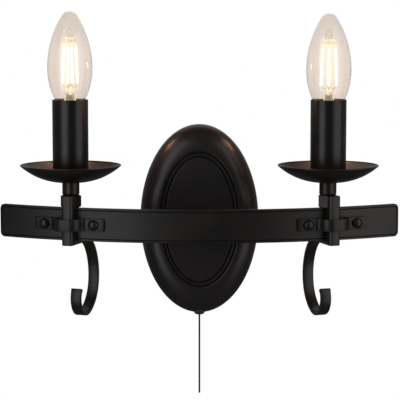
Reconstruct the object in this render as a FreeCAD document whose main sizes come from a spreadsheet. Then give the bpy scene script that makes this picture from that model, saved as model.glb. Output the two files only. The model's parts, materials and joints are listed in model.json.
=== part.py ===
import FreeCAD, Part
import math
import os
import re

import Sketcher

# Double arm wall sconce, millimetres.
# X to the right, Z up, the wall is the plane Y = 0 and the lamp stands in front of it (Y < 0).
# The origin is the middle of the wall bracket's back face.

doc = FreeCAD.newDocument("double_arm_wall_sconce")
sheet = doc.addObject("Spreadsheet::Sheet", "Dimensions")

DIMENSIONS = (
    # curved band and where the arms stand on it
    ("candle_standoff", 55.0, "wall to the candle axes"),
    ("band_radius", 310.0, "front face of the curved band"),
    ("band_thickness", 3.0, ""),
    ("band_height", 26.3, ""),
    ("band_rise", 2.0, "middle of the band above the origin"),
    ("band_half_angle", 30.9, "half of the arc, degrees"),
    ("band_corner", 4.0, "rounding of the band's end corners"),
    ("fit_gap", 0.05, "round a piece that slips into another"),
    ("arm_angle", 19.15, "arm from the middle of the arc, degrees"),
    # backplate
    ("plate_half_width", 48.1, ""),
    ("plate_half_height", 77.2, ""),
    ("plate_flat_half_width", 31.5, "outer edge of the grooved flat"),
    ("plate_flat_half_height", 54.7, ""),
    ("plate_lip", 3.0, "straight edge at the wall"),
    ("plate_depth", 20.0, ""),
    ("plate_wall", 2.0, ""),
    ("groove_radius", 1.1, ""),
    ("groove_pitch", 3.5, "between the two grooves"),
    ("bead_rise", 0.3, "crest between the grooves, above the flat"),
    # wall bracket and what fixes the plate
    ("bracket_length", 82.0, ""),
    ("bracket_width", 20.0, ""),
    ("bracket_tab_top", 46.0, "top of the upright tab above the origin"),
    ("bracket_thickness", 2.0, ""),
    ("bracket_corner", 4.0, ""),
    ("slot_spacing", 64.0, "wall screw slots"),
    ("slot_length", 11.0, ""),
    ("slot_width", 5.0, ""),
    ("stud_spacing", 40.0, ""),
    ("stud_radius", 2.0, ""),
    ("stud_start", 0.2, "wall to the studs"),
    ("stud_end", 25.0, "tip of the studs from the wall"),
    ("cap_nut_flats", 7.0, ""),
    ("cap_nut_height", 3.2, "hexagon without its dome"),
    ("cap_dome_radius", 3.1, ""),
    ("cap_dome_root", 0.2, "dome sunk into the hexagon"),
    ("cap_bore_end", 2.2, "hollow above the hexagon"),
    ("small_bore", 2.06, "hole round an M4 thread"),
    ("fine_bore", 1.56, "hole round an M3 thread"),
    ("fine_screw", 1.5, "M3 thread"),
    ("earth_rise", 6.0, "earth screw above the bracket's long bar"),
    # centre boss
    ("boss_radius", 9.0, ""),
    ("boss_flange_radius", 13.0, ""),
    ("boss_flange_height", 3.0, ""),
    ("boss_shoulder", 2.0, "cone over the flange"),
    ("wire_hole_radius", 3.0, ""),
    ("wire_hole_gap", 3.0, "between the hole and the band"),
    ("centre_nipple_length", 20.0, ""),
    ("centre_nipple_tail", 1.5, "behind its nut"),
    ("nipple_radius", 5.0, "M10 x 1 threaded tube"),
    ("nipple_bore", 3.6, ""),
    ("nipple_hole", 5.06, "hole round the threaded tube"),
    ("lock_nut_flats", 14.0, "M10 x 1 nuts"),
    ("lock_nut_height", 3.0, ""),
    # electrical pieces behind the plate
    ("pole_pitch", 8.0, "terminal block"),
    ("block_depth", 13.0, ""),
    ("block_height", 16.0, ""),
    ("block_bottom", 26.0, "above the origin"),
    ("wire_entry_radius", 1.7, ""),
    ("screw_well_radius", 1.8, ""),
    ("screw_well_depth", 6.0, ""),
    ("screw_gap", 0.08, "terminal screw in its well"),
    ("terminal_screw_height", 3.0, ""),
    ("terminal_screw_lift", 0.2, "above the floor of the well"),
    ("switch_width", 20.0, ""),
    ("switch_depth", 12.0, ""),
    ("switch_height", 24.0, ""),
    ("switch_standoff", 8.0, "wall to the cord"),
    ("switch_bottom", -64.0, "above the origin"),
    ("switch_neck_radius", 3.7, ""),
    ("switch_neck_length", 6.0, ""),
    ("switch_floor", 1.0, "under the plunger"),
    ("plunger_radius", 2.44, ""),
    ("plunger_bore", 2.5, ""),
    ("plunger_height", 5.0, ""),
    ("plunger_gap", 0.5, "left at each end of the travel"),
    ("plunger_travel", 8.0, ""),
    ("cord_radius", 0.7, ""),
    ("cord_hole", 1.0, ""),
    ("cord_end", -144.0, "lower end above the origin"),
    ("bush_radius", 4.25, ""),
    ("bush_top", -66.0, "above the origin"),
    ("bush_length", 12.4, ""),
    ("bush_bevel", 1.2, ""),
    ("bush_gap", 0.06, "round the switch's neck"),
    # arms
    ("arm_width", 9.0, ""),
    ("arm_depth", 9.5, "upright bar, front to back"),
    ("arm_bevel", 1.5, "front corners of the bar"),
    ("arm_offset", 1.3, "bar to the right of its candle axis"),
    ("arm_top", 24.75, "above the origin"),
    ("strap_thickness", 3.0, "foot and scroll"),
    ("scroll_width", 8.6, "after the taper"),
    ("taper_end", 18.0, "under the band"),
    ("scroll_drop", 65.0, "deepest the taper is cut, under the band"),
    ("foot_back", 17.5, "straight foot behind the candle axis"),
    ("clip_thickness", 2.0, ""),
    ("clip_height", 9.5, ""),
    ("clip_half_length", 29.2, ""),
    ("clip_shift", 1.5, "middle of the clip outward of the bar's middle"),
    ("clip_lift", 0.35, "over the front of the bar"),
    ("clip_flat", 2.5, "half of the flat over the bar"),
    ("clip_bend", 7.0, "inside radius of the upper bends"),
    ("clip_toe_bend", 6.0, "outside radius of the lower bends"),
    ("bolt_offset", 20.6, "along the band from the middle of the clip"),
    ("bolt_radius", 2.0, ""),
    ("bolt_tip", 1.0, "past the nut"),
    ("bolt_head_radius", 4.5, ""),
    ("bolt_head_height", 3.7, ""),
    ("bolt_head_edge", 0.6, "upright edge under the dome"),
    ("clip_nut_flats", 7.0, ""),
    ("clip_nut_height", 3.2, ""),
    ("clip_nut_gap", 0.02, "behind the curved band"),
    # candles
    ("stem_radius", 6.75, ""),
    ("stem_height", 10.0, ""),
    ("stem_bevel", 0.9, "round its foot"),
    ("nipple_sink", 0.5, "lower end above the band"),
    ("pan_radius", 39.5, ""),
    ("pan_depth", 13.75, ""),
    ("pan_lip", 0.75, "upright edge"),
    ("pan_wall", 1.2, ""),
    ("pan_seat", 8.5, "flat round the stem"),
    ("pan_curve", 51.0, "radius of the bowl"),
    ("pan_step", 0.2, "inside, from the bowl to the lip"),
    ("tube_radius", 14.0, ""),
    ("tube_wall", 1.0, ""),
    ("tube_foot", 1.85, "above the pan's underside"),
    ("tube_bevel", 0.5, ""),
    ("tube_top", 99.5, "above the origin"),
    ("holder_bottom", 52.0, "above the origin"),
    ("holder_height", 38.0, ""),
    ("holder_radius", 12.0, ""),
    ("holder_foot", 9.0, "radius of the lower end"),
    ("holder_cone", 4.0, "height of the cone over the lower end"),
    ("holder_drop", 1.6, "right lampholder, screwed further down"),
    ("holder_channel", 2.0, "radius of the wire channel"),
    ("thread_depth", 9.0, "of the threaded tube in the lampholder"),
    ("thread_room", 2.2, "over the threaded tube"),
    ("shell_radius", 7.6, ""),
    ("shell_wall", 0.35, ""),
    ("shell_lift", 2.0, "over the floor of the socket"),
    ("shell_edge", 0.5, "under the lampholder's rim"),
    ("contact_radius", 3.2, ""),
    ("contact_plate", 0.8, ""),
    ("contact_height", 1.9, ""),
    ("cap_radius", 6.9, "E14 lamp cap"),
    ("cap_skirt_radius", 8.5, ""),
    ("cap_tip_radius", 2.2, "solder contact"),
    ("cap_tip_height", 1.0, ""),
    ("cap_waist", 5.5, "radius of the insulator round the contact"),
    ("cap_thread_start", 4.5, "above the contact"),
    ("cap_flare", 5.0, "skirt starts this far under its top"),
    ("cap_skirt", 3.0, "upright part of the skirt"),
    ("cap_bottom", 70.2, "contact, above the origin"),
    ("cap_top", 94.5, ""),
    ("bulb_radius", 17.5, ""),
    ("bulb_widest", 124.0, "height of the widest place"),
    ("bulb_wall", 0.7, ""),
    ("bulb_neck", 5.0, "cone over the cap"),
    ("bulb_lower_curve", 57.0, ""),
    ("bulb_upper_curve", 76.7, ""),
    ("bulb_upper_turn", 32.5, "degrees"),
    ("bulb_tip_curve", 6.5, ""),
    ("foot_radius", 7.0, "flare of the glass stem"),
    ("foot_waist", 3.4, "over the flare"),
    ("stalk_radius", 2.4, ""),
    ("stalk_start", 13.0, "above the cap"),
    ("post_radius", 0.4, "support wire in the middle"),
    ("post_rise", 9.0, "above the filaments"),
    ("filament_radius", 0.9, ""),
    ("filament_bottom", 111.5, ""),
    ("filament_top", 141.5, ""),
    ("filament_spread", 7.0, "distance from the axis at the bottom"),
    ("filament_gather", 5.4, "distance from the axis at the top"),
)

for row, (alias, number, note) in enumerate(DIMENSIONS, start=1):
    sheet.set(f"A{row}", alias)
    sheet.set(f"B{row}", str(number))
    sheet.set(f"C{row}", note)
    sheet.setAlias(f"B{row}", alias)
doc.recompute()

ALIASES = {alias for alias, number, note in DIMENSIONS}
SIDES = (("left", -1), ("right", 1))
HEX_CORNERS = range(0, 360, 60)
# Cutting shapes start this far outside the piece that they cut.
RUN_OUT = 2.0
# Half circles get this much more than half their chord.
ROUNDING = "0.0001"
# Lengths closer than this count as the same.
TINY = 0.01
parts = []


# ---------------------------------------------------------------- helpers

def linked(expression):
    """Write the aliases in a formula as references to the sheet."""
    def prefix(match):
        word = match.group()
        return f"Dimensions.{word}" if word in ALIASES else word
    return re.sub(r"[a-z]\w*", prefix, expression)


def value(expression):
    """Value of a formula of aliases, as a plain number."""
    return float(sheet.evalExpression(linked(expression)))


def keep(obj, label):
    """Name a finished sub-part and put it on the list that is written out."""
    obj.Label = label
    parts.append(obj)
    return obj


def new_body(name):
    return doc.addObject("PartDesign::Body", name)


def new_sketch(body, name, role, lift="0"):
    """Sketch on one of the body's own origin planes, lifted along its normal."""
    sketch = body.newObject("Sketcher::SketchObject", name)
    plane = next(f for f in body.Origin.OriginFeatures if f.Role == role)
    sketch.AttachmentSupport = [(plane, "")]
    sketch.MapMode = "FlatFace"
    if lift != "0":
        sketch.setExpression(".AttachmentOffset.Base.z", linked(lift))
    return sketch


def arc_between(start, end, radius, turn):
    """Circle arc from start to end; turn is +1 when it runs anticlockwise."""
    chord = end - start
    across = FreeCAD.Vector(-chord.y, chord.x, 0).normalize() * turn
    rise = math.sqrt(radius ** 2 - (chord.Length / 2) ** 2)
    centre = (start + end) / 2 + across * rise
    first, last = (start, end) if turn > 0 else (end, start)
    angles = [math.atan2(p.y - centre.y, p.x - centre.x) for p in (first, last)]
    circle = Part.Circle(centre, FreeCAD.Vector(0, 0, 1), radius)
    return Part.ArcOfCircle(circle, angles[0], angles[1])


def draw(sketch, corners):
    """Closed outline whose corners and arc radii are constrained to the sheet.

    A corner is (x, y), or (x, y, radius, turn) when an arc leaves it.
    """
    first = sketch.GeometryCount
    count = len(corners)
    points = [FreeCAD.Vector(value(c[0]), value(c[1]), 0) for c in corners]
    ends = []
    for i, corner in enumerate(corners):
        start, end = points[i], points[(i + 1) % count]
        if len(corner) == 2:
            sketch.addGeometry(Part.LineSegment(start, end), False)
            ends.append((1, 2))
        else:
            arc = arc_between(start, end, value(corner[2]), corner[3])
            sketch.addGeometry(arc, False)
            ends.append((1, 2) if corner[3] > 0 else (2, 1))
    for i in range(count):
        after = (i + 1) % count
        sketch.addConstraint(Sketcher.Constraint(
            "Coincident", first + i, ends[i][1], first + after, ends[after][0]))
    for i, corner in enumerate(corners):
        bind_point(sketch, first + i, ends[i][0], corner, points[i])
        if len(corner) > 2:
            index = sketch.addConstraint(Sketcher.Constraint("Radius", first + i, value(corner[2])))
            sketch.setExpression(f"Constraints[{index}]", linked(corner[2]))


def bind_point(sketch, edge, end, corner, point):
    for kind, axis, text, number in (("DistanceX", -2, corner[0], point.x),
                                     ("DistanceY", -1, corner[1], point.y)):
        if text == "0":
            sketch.addConstraint(Sketcher.Constraint("PointOnObject", edge, end, axis))
        else:
            index = sketch.addConstraint(Sketcher.Constraint(kind, -1, 1, edge, end, number))
            sketch.setExpression(f"Constraints[{index}]", linked(text))


def draw_circle(sketch, x, y, radius):
    centre = FreeCAD.Vector(value(x), value(y), 0)
    edge = sketch.addGeometry(Part.Circle(centre, FreeCAD.Vector(0, 0, 1), value(radius)), False)
    bind_point(sketch, edge, 3, (x, y), centre)
    index = sketch.addConstraint(Sketcher.Constraint("Radius", edge, value(radius)))
    sketch.setExpression(f"Constraints[{index}]", linked(radius))


def draw_hexagon(sketch, flats, turn="0", middle="0"):
    """Hexagon over flats, turned in degrees, with its middle on the sketch's X axis."""
    draw(sketch, [(f"{middle} + {flats} / sqrt(3) * cos(({turn} + {a}) * 1deg)",
                   f"{flats} / sqrt(3) * sin(({turn} + {a}) * 1deg)") for a in HEX_CORNERS])


def pad(body, sketch, length, symmetric=False):
    feature = body.newObject("PartDesign::Pad", sketch.Name + "_pad")
    feature.Profile = sketch
    feature.setExpression("Length", linked(length))
    if symmetric:
        feature.SideType = "Symmetric"
    return feature


def pocket(body, sketch, length, away=False):
    feature = body.newObject("PartDesign::Pocket", sketch.Name + "_pocket")
    feature.Profile = sketch
    feature.Reversed = away
    feature.setExpression("Length", linked(length))
    return feature


def revolve(body, sketch, kind="Revolution"):
    feature = body.newObject(f"PartDesign::{kind}", sketch.Name + "_turned")
    feature.Profile = sketch
    feature.ReferenceAxis = (sketch, ["V_Axis"])
    feature.Angle = 360
    return feature


def turned(name, corners):
    """Body turned about its own Z axis; corners are (radius, height)."""
    body = new_body(name)
    sketch = new_sketch(body, name + "_outline", "XZ_Plane")
    draw(sketch, corners)
    revolve(body, sketch)
    return body


def hex_nut(name, flats, height, bore):
    """Hexagon nut standing on its own XY plane, both faces chamfered."""
    body = new_body(name)
    sketch = new_sketch(body, name + "_hexagon", "XY_Plane")
    draw_hexagon(sketch, flats)
    draw_circle(sketch, "0", "0", bore)
    pad(body, sketch, height)
    corner = f"{flats} / sqrt(3) + fit_gap"
    crown = f"{flats} / 2 - fit_gap"
    drop = f"{flats} / 20"
    edge = new_sketch(body, name + "_chamfer", "XZ_Plane")
    draw(edge, [(crown, "0"), (corner, "0"), (corner, drop)])
    draw(edge, [(crown, height), (corner, f"{height} - {drop}"), (corner, height)])
    revolve(body, edge, "Groove")
    return body


def cylinder(name, radius, height, placement=None):
    obj = doc.addObject("Part::Cylinder", name)
    obj.setExpression("Radius", linked(radius))
    obj.setExpression("Height", linked(height))
    if placement:
        obj.Placement = placement
    return obj


def cut(name, base, tool):
    obj = doc.addObject("Part::Cut", name)
    obj.Base = base
    obj.Tool = tool
    return obj


def group(name, members):
    obj = doc.addObject("Part::Compound", name)
    obj.Links = members
    return obj


def place(x, y, z, rotation=None):
    return FreeCAD.Placement(FreeCAD.Vector(x, y, z), rotation or FreeCAD.Rotation())


# Local Z points from the wall into the room.
OUTWARD = FreeCAD.Rotation(FreeCAD.Vector(1, 0, 0), 90)
# Local Z points down.
DOWNWARD = FreeCAD.Rotation(FreeCAD.Vector(1, 0, 0), 180)


def spin(angle):
    return FreeCAD.Rotation(FreeCAD.Vector(0, 0, 1), angle)


# Everything on the band is placed about the axis that the band is bent round.
BAND_AXIS_Y = value("(band_radius - band_thickness) * cos(arm_angle * 1deg) - candle_standoff")


def on_band(radius, angle, height):
    """Placement with local Z pointing radially out of the band."""
    turn = math.radians(angle)
    x = radius * math.sin(turn)
    y = BAND_AXIS_Y - radius * math.cos(turn)
    return place(x, y, height, spin(angle).multiply(OUTWARD))


def behind_band(angle, height, extra_turn=0.0):
    """Placement on the back face of the band, local -Y pointing radially out of it."""
    radius = value("band_radius - band_thickness")
    turn = math.radians(angle)
    return place(radius * math.sin(turn), BAND_AXIS_Y - radius * math.cos(turn), height,
                 spin(angle + extra_turn))


def on_arm(side, height, extra_turn=0.0):
    """Placement on an arm's candle axis, which meets the back face of the band."""
    return behind_band(side * value("arm_angle"), height, extra_turn)


def clip_angle(side, along="0"):
    """Angle on the band of a place on a clip, along millimetres from the clip's middle."""
    arc = value(f"(arm_offset + {side} * clip_shift + {along}) / band_radius")
    return side * value("arm_angle") + math.degrees(arc)


def leftward(heading):
    return FreeCAD.Vector(-math.sin(heading), math.cos(heading), 0)


def chain(start, heading, steps):
    """Tangent arcs (radius, turn) one after another; angles in degrees, left turns positive.

    Returns one record per arc for beside(): centre, radius, side, first and last heading.
    """
    arcs = []
    heading = math.radians(heading)
    point = start
    for radius, turn in steps:
        side = 1 if turn > 0 else -1
        centre = point + leftward(heading) * (radius * side)
        after = heading + math.radians(turn)
        arcs.append((centre, radius, side, heading, after))
        point = centre - leftward(after) * (radius * side)
        heading = after
    return arcs


def beside(arcs, shift):
    """The same arcs moved to the left of their run by shift."""
    edges = []
    for centre, radius, side, before, after in arcs:
        reach = radius * side - shift
        spots = [centre - leftward(h) * reach for h in (before, (before + after) / 2, after)]
        edges.append(Part.Arc(*spots))
    return edges


def add_loop(sketch, edges):
    """Put a closed run of ready edges into a sketch and tie their ends together."""
    first = sketch.GeometryCount
    for edge in edges:
        sketch.addGeometry(edge, False)
    ties = []
    for i in range(first, sketch.GeometryCount):
        for j in range(i + 1, sketch.GeometryCount):
            for a in (1, 2):
                for b in (1, 2):
                    gap = sketch.getPoint(i, a) - sketch.getPoint(j, b)
                    if gap.Length < TINY:
                        ties.append(Sketcher.Constraint("Coincident", i, a, j, b))
    for tie in ties:
        sketch.addConstraint(tie)


def line(a, b):
    return Part.LineSegment(a, b)


def vector(x, y):
    return FreeCAD.Vector(x, y, 0)


# ---------------------------------------------------------------- backplate

OUTER_STEPS = 6
INNER_STEPS = 4
GROOVE_STEPS = 4


def dome_rings(inset, steps):
    """Quarter-round border as (inset of the flat, share of the border, level), lip first."""
    rise = value("plate_depth - plate_lip") - inset
    turns = [math.pi / 2 * i / steps for i in range(steps + 1)]
    return [(0, math.cos(t), value("plate_lip") + rise * math.sin(t)) for t in turns]


def groove_rings(start):
    """Half-round groove in the flat, from its outer edge inwards."""
    radius = value("groove_radius")
    turns = [math.pi * i / GROOVE_STEPS for i in range(1, GROOVE_STEPS + 1)]
    return [(start + radius * (1 - math.cos(t)), 0, value("plate_depth") - radius * math.sin(t))
            for t in turns]


def stacked_ovals(inset, rings):
    """Solid ruled through ovals parallel to the wall, all drawn in by inset.

    The long axis is local X and local Z leaves the wall.
    """
    wires = []
    for flat_inset, share, level in rings:
        reach = []
        for word in ("height", "width"):
            flat = value(f"plate_flat_half_{word}")
            border = value(f"plate_half_{word}") - flat
            reach.append(flat + border * share - inset - flat_inset)
        ellipse = Part.Ellipse(FreeCAD.Vector(0, 0, level), reach[0], reach[1])
        wires.append(Part.Wire([ellipse.toShape()]))
    return Part.makeLoft(wires, True, True)


def make_backplate():
    """Pressed oval shell; the dome and its grooves change their shape all the way round."""
    wall = value("plate_wall")
    second = value("groove_pitch")
    crest = (value("groove_radius + groove_pitch / 2"), 0, value("plate_depth + bead_rise"))
    outside = [(0, 1, 0)] + dome_rings(0, OUTER_STEPS) + groove_rings(0)
    outside += [crest, (second, 0, value("plate_depth"))]
    inside = [(0, 1, -RUN_OUT)] + dome_rings(wall, INNER_STEPS)
    shell = stacked_ovals(0, outside + groove_rings(second)).cut(stacked_ovals(wall, inside))
    pressing = doc.addObject("Part::Feature", "plate_shell")
    pressing.Shape = shell

    through = f"plate_depth + {RUN_OUT}"
    tools = [cylinder("nipple_hole", "nipple_hole", through)]
    tools[0].setExpression(".Placement.Base.x", linked("band_rise"))
    for side in (-1, 1):
        hole = cylinder(f"stud_hole_{side + 1}", "small_bore", through)
        hole.setExpression(".Placement.Base.x", linked("band_rise"))
        hole.setExpression(".Placement.Base.y", linked(f"{side} * stud_spacing / 2"))
        tools.append(hole)
    mouth = cylinder("bush_hole", "bush_radius + fit_gap", "plate_half_height + bush_top")
    mouth.Placement = place(-value("plate_half_height") - RUN_OUT, 0, value("switch_standoff"),
                            FreeCAD.Rotation(FreeCAD.Vector(0, 1, 0), 90))
    tools.append(mouth)
    cutters = doc.addObject("Part::MultiFuse", "plate_cutters")
    cutters.Shapes = tools
    plate = cut("plate", pressing, cutters)
    # the long axis goes upright and local Z out into the room
    plate.Placement = place(0, 0, 0, FreeCAD.Rotation(FreeCAD.Vector(0, 0, 1), FreeCAD.Vector(-1, 0, 0),
                                                      FreeCAD.Vector(0, -1, 0), "XYZ"))
    keep(plate, "backplate")


# ---------------------------------------------------------------- bracket and fixings

EARTH_HEIGHT = "(band_rise + bracket_width / 2 + earth_rise)"
BLOCK_FIXING = ("pole_pitch / 2", "(block_bottom + block_height / 2)")


def make_wall_bracket():
    body = new_body("bracket")
    sketch = new_sketch(body, "bracket_outline", "XY_Plane")
    low = "band_rise - bracket_width / 2"
    high = "band_rise + bracket_width / 2"
    draw(sketch, [("-bracket_length / 2", low), ("bracket_length / 2", low),
                  ("bracket_length / 2", high), ("bracket_width / 2", high),
                  ("bracket_width / 2", "bracket_tab_top"), ("-bracket_width / 2", "bracket_tab_top"),
                  ("-bracket_width / 2", high), ("-bracket_length / 2", high)])
    plate = pad(body, sketch, "bracket_thickness")
    doc.recompute()
    round_edges = []
    for i, edge in enumerate(plate.Shape.Edges, start=1):
        box = edge.BoundBox
        upright = box.DiagonalLength < value("bracket_thickness") + TINY and box.ZLength > TINY
        at_end = abs(box.XMax) > value("bracket_length / 2") - TINY
        if upright and (at_end or box.YMax > value("bracket_tab_top") - TINY):
            round_edges.append(f"Edge{i}")
    fillet = body.newObject("PartDesign::Fillet", "bracket_corners")
    fillet.Base = (plate, round_edges)
    fillet.setExpression("Radius", linked("bracket_corner"))
    holes = new_sketch(body, "bracket_holes", "XY_Plane")
    for side in (-1, 1):
        half = "(slot_length - slot_width) / 2"
        inner = f"{side} * slot_spacing / 2 - {half}"
        outer = f"{side} * slot_spacing / 2 + {half}"
        low_edge = "-slot_width / 2"
        high_edge = "slot_width / 2"
        draw(holes, [(inner, low_edge), (outer, low_edge, f"slot_width / 2 + {ROUNDING}", 1),
                     (outer, high_edge), (inner, high_edge, f"slot_width / 2 + {ROUNDING}", 1)])
        draw_circle(holes, f"{side} * stud_spacing / 2", "band_rise", "small_bore")
    draw_circle(holes, "0", EARTH_HEIGHT, "small_bore")
    draw_circle(holes, BLOCK_FIXING[0], BLOCK_FIXING[1], "fine_bore")
    pocket(body, holes, "bracket_thickness", away=True)
    body.Placement = place(0, 0, 0, OUTWARD)
    keep(body, "wall_bracket")


def make_plate_fixings():
    studs = []
    nuts = []
    height = value("band_rise")
    for side in (-1, 1):
        x = side * value("stud_spacing / 2")
        studs.append(cylinder(f"stud_{side + 1}", "stud_radius", "stud_end - stud_start",
                              place(x, -value("stud_start"), height, OUTWARD)))
        nut = hex_nut(f"cap_nut_{side + 1}", "cap_nut_flats", "cap_nut_height", "small_bore")
        crown = new_sketch(nut, f"cap_crown_{side + 1}", "XZ_Plane")
        foot = "cap_dome_radius"
        root = "cap_nut_height - cap_dome_root"
        ceiling = "cap_nut_height + cap_bore_end"
        draw(crown, [("small_bore", root), (foot, root), (foot, "cap_nut_height", foot, 1),
                     ("0", "cap_nut_height + cap_dome_radius"), ("0", ceiling), ("small_bore", ceiling)])
        revolve(nut, crown)
        nut.Placement = place(x, -value("plate_depth"), height, OUTWARD)
        nuts.append(nut)
    keep(group("studs", studs), "bracket_studs")
    keep(group("cap_nuts", nuts), "plate_nuts")


# ---------------------------------------------------------------- band and its boss

# The two bolts of a clip, measured along the band from the clip's middle.
BOLT_PLACES = ("-bolt_offset", "bolt_offset")


def make_band():
    body = new_body("band")
    sketch = new_sketch(body, "band_arc", "XY_Plane")
    ends = []
    for side in (-1, 1):
        for radius in ("band_radius", "(band_radius - band_thickness)"):
            ends.append((f"{radius} * sin({side} * band_half_angle * 1deg)",
                         f"-{radius} * cos(band_half_angle * 1deg)"))
    draw(sketch, [ends[0] + ("band_radius", 1), ends[2],
                  ends[3] + ("band_radius - band_thickness", -1), ends[1]])
    bar = pad(body, sketch, "band_height", symmetric=True)
    doc.recompute()
    corners = []
    for i, edge in enumerate(bar.Shape.Edges, start=1):
        if edge.Length < value("band_thickness") + TINY and edge.BoundBox.ZLength < TINY:
            corners.append(f"Edge{i}")
    fillet = body.newObject("PartDesign::Fillet", "band_corners")
    fillet.Base = (bar, corners)
    fillet.setExpression("Radius", linked("band_corner"))
    radius = value("band_radius - band_thickness") - RUN_OUT
    for number, (side, along) in enumerate((s, way) for name, s in SIDES for way in BOLT_PLACES):
        hole = body.newObject("PartDesign::SubtractiveCylinder", f"bolt_hole_{number}")
        hole.setExpression("Radius", linked("small_bore"))
        hole.setExpression("Height", linked(f"band_thickness + 2 * {RUN_OUT}"))
        angle = clip_angle(side, along)
        turn = math.radians(angle)
        hole.Placement = place(radius * math.sin(turn), -radius * math.cos(turn), 0,
                               spin(angle).multiply(OUTWARD))
    body.Placement = place(0, BAND_AXIS_Y, value("band_rise"))
    keep(body, "curved_band")


def make_boss():
    tube = turned("boss_tube", [
        ("nipple_hole", "0"), ("boss_flange_radius", "0"),
        ("boss_flange_radius", "boss_flange_height"), ("boss_radius", "boss_flange_height + boss_shoulder"),
        ("boss_radius", "candle_standoff + plate_depth"), ("nipple_hole", "candle_standoff + plate_depth")])
    tube.Placement = place(0, -value("plate_depth"), value("band_rise"), OUTWARD)
    reach = cylinder("band_back", "band_radius - band_thickness", f"2 * (boss_flange_radius + {RUN_OUT})")
    reach.Placement = place(0, BAND_AXIS_Y, value("band_rise - boss_flange_radius") - RUN_OUT)
    coped = doc.addObject("Part::Common", "coped_boss")
    coped.Base = tube
    coped.Tool = reach
    back = value("band_radius - band_thickness") - BAND_AXIS_Y
    across = cylinder("wire_hole", "wire_hole_radius", "2 * boss_flange_radius")
    across.Placement = place(-value("boss_flange_radius"), value("wire_hole_radius + wire_hole_gap") - back,
                             value("band_rise"), FreeCAD.Rotation(FreeCAD.Vector(0, 1, 0), 90))
    keep(cut("boss", coped, across), "centre_boss")
    length = "centre_nipple_length"
    nipple = turned("plate_nipple", [("nipple_bore", "0"), ("nipple_radius", "0"),
                                     ("nipple_radius", length), ("nipple_bore", length)])
    nipple.Placement = place(0, -value("plate_depth - plate_wall - lock_nut_height - centre_nipple_tail"),
                             value("band_rise"), OUTWARD)
    keep(nipple, "centre_nipple")
    nut = hex_nut("plate_nut", "lock_nut_flats", "lock_nut_height", "nipple_hole")
    nut.Placement = place(0, -value("plate_depth - plate_wall - lock_nut_height"),
                          value("band_rise"), OUTWARD)
    keep(nut, "centre_nut")


# ---------------------------------------------------------------- electrical pieces

def make_terminals():
    body = new_body("terminals")
    sketch = new_sketch(body, "terminal_outline", "XY_Plane")
    half = "pole_pitch * 1.5"
    low = "block_bottom"
    high = "block_bottom + block_height"
    draw(sketch, [(f"-{half}", low), (half, low), (half, high), (f"-{half}", high)])
    pad(body, sketch, "block_depth")
    wells = new_sketch(body, "screw_wells", "XY_Plane", "block_depth")
    entries = new_sketch(body, "wire_entries", "XZ_Plane", "-block_bottom")
    screws = []
    seat = value("bracket_thickness + block_depth - screw_well_depth + terminal_screw_lift")
    for pole in (-1, 0, 1):
        x = f"{pole} * pole_pitch" if pole else "0"
        draw_circle(entries, x, "block_depth * 0.45", "wire_entry_radius")
        for row in (0.25, 0.75):
            z = f"block_bottom + block_height * {row}"
            draw_circle(wells, x, z, "screw_well_radius")
            screws.append(cylinder(f"terminal_screw_{len(screws)}", "screw_well_radius - screw_gap",
                                   "terminal_screw_height", place(value(x), -seat, value(z), OUTWARD)))
    pocket(body, wells, "screw_well_depth")
    pocket(body, entries, "block_height", away=True)
    fixing = new_sketch(body, "fixing_hole", "XY_Plane")
    draw_circle(fixing, BLOCK_FIXING[0], BLOCK_FIXING[1], "fine_bore")
    pocket(body, fixing, "block_depth", away=True)
    body.Placement = place(0, -value("bracket_thickness"), 0, OUTWARD)
    keep(body, "terminal_block")
    keep(group("screws", screws), "terminal_screws")


def make_pan_screw(name, x, z, seat, thread, length):
    """Small pan-head screw with its head against seat, pointing at the wall."""
    head = f"({thread} * 1.8)"
    side, crown = f"{head} / 2", f"{head} * 3 / 4"
    screw = turned(name, [("0", f"-{length}"), (thread, f"-{length}"), (thread, "0"), (head, "0"),
                          (head, side), (f"{head} * 3 / 4", crown), ("0", crown)])
    screw.Placement = place(value(x), -value(seat), value(z), OUTWARD)
    return screw


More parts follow.
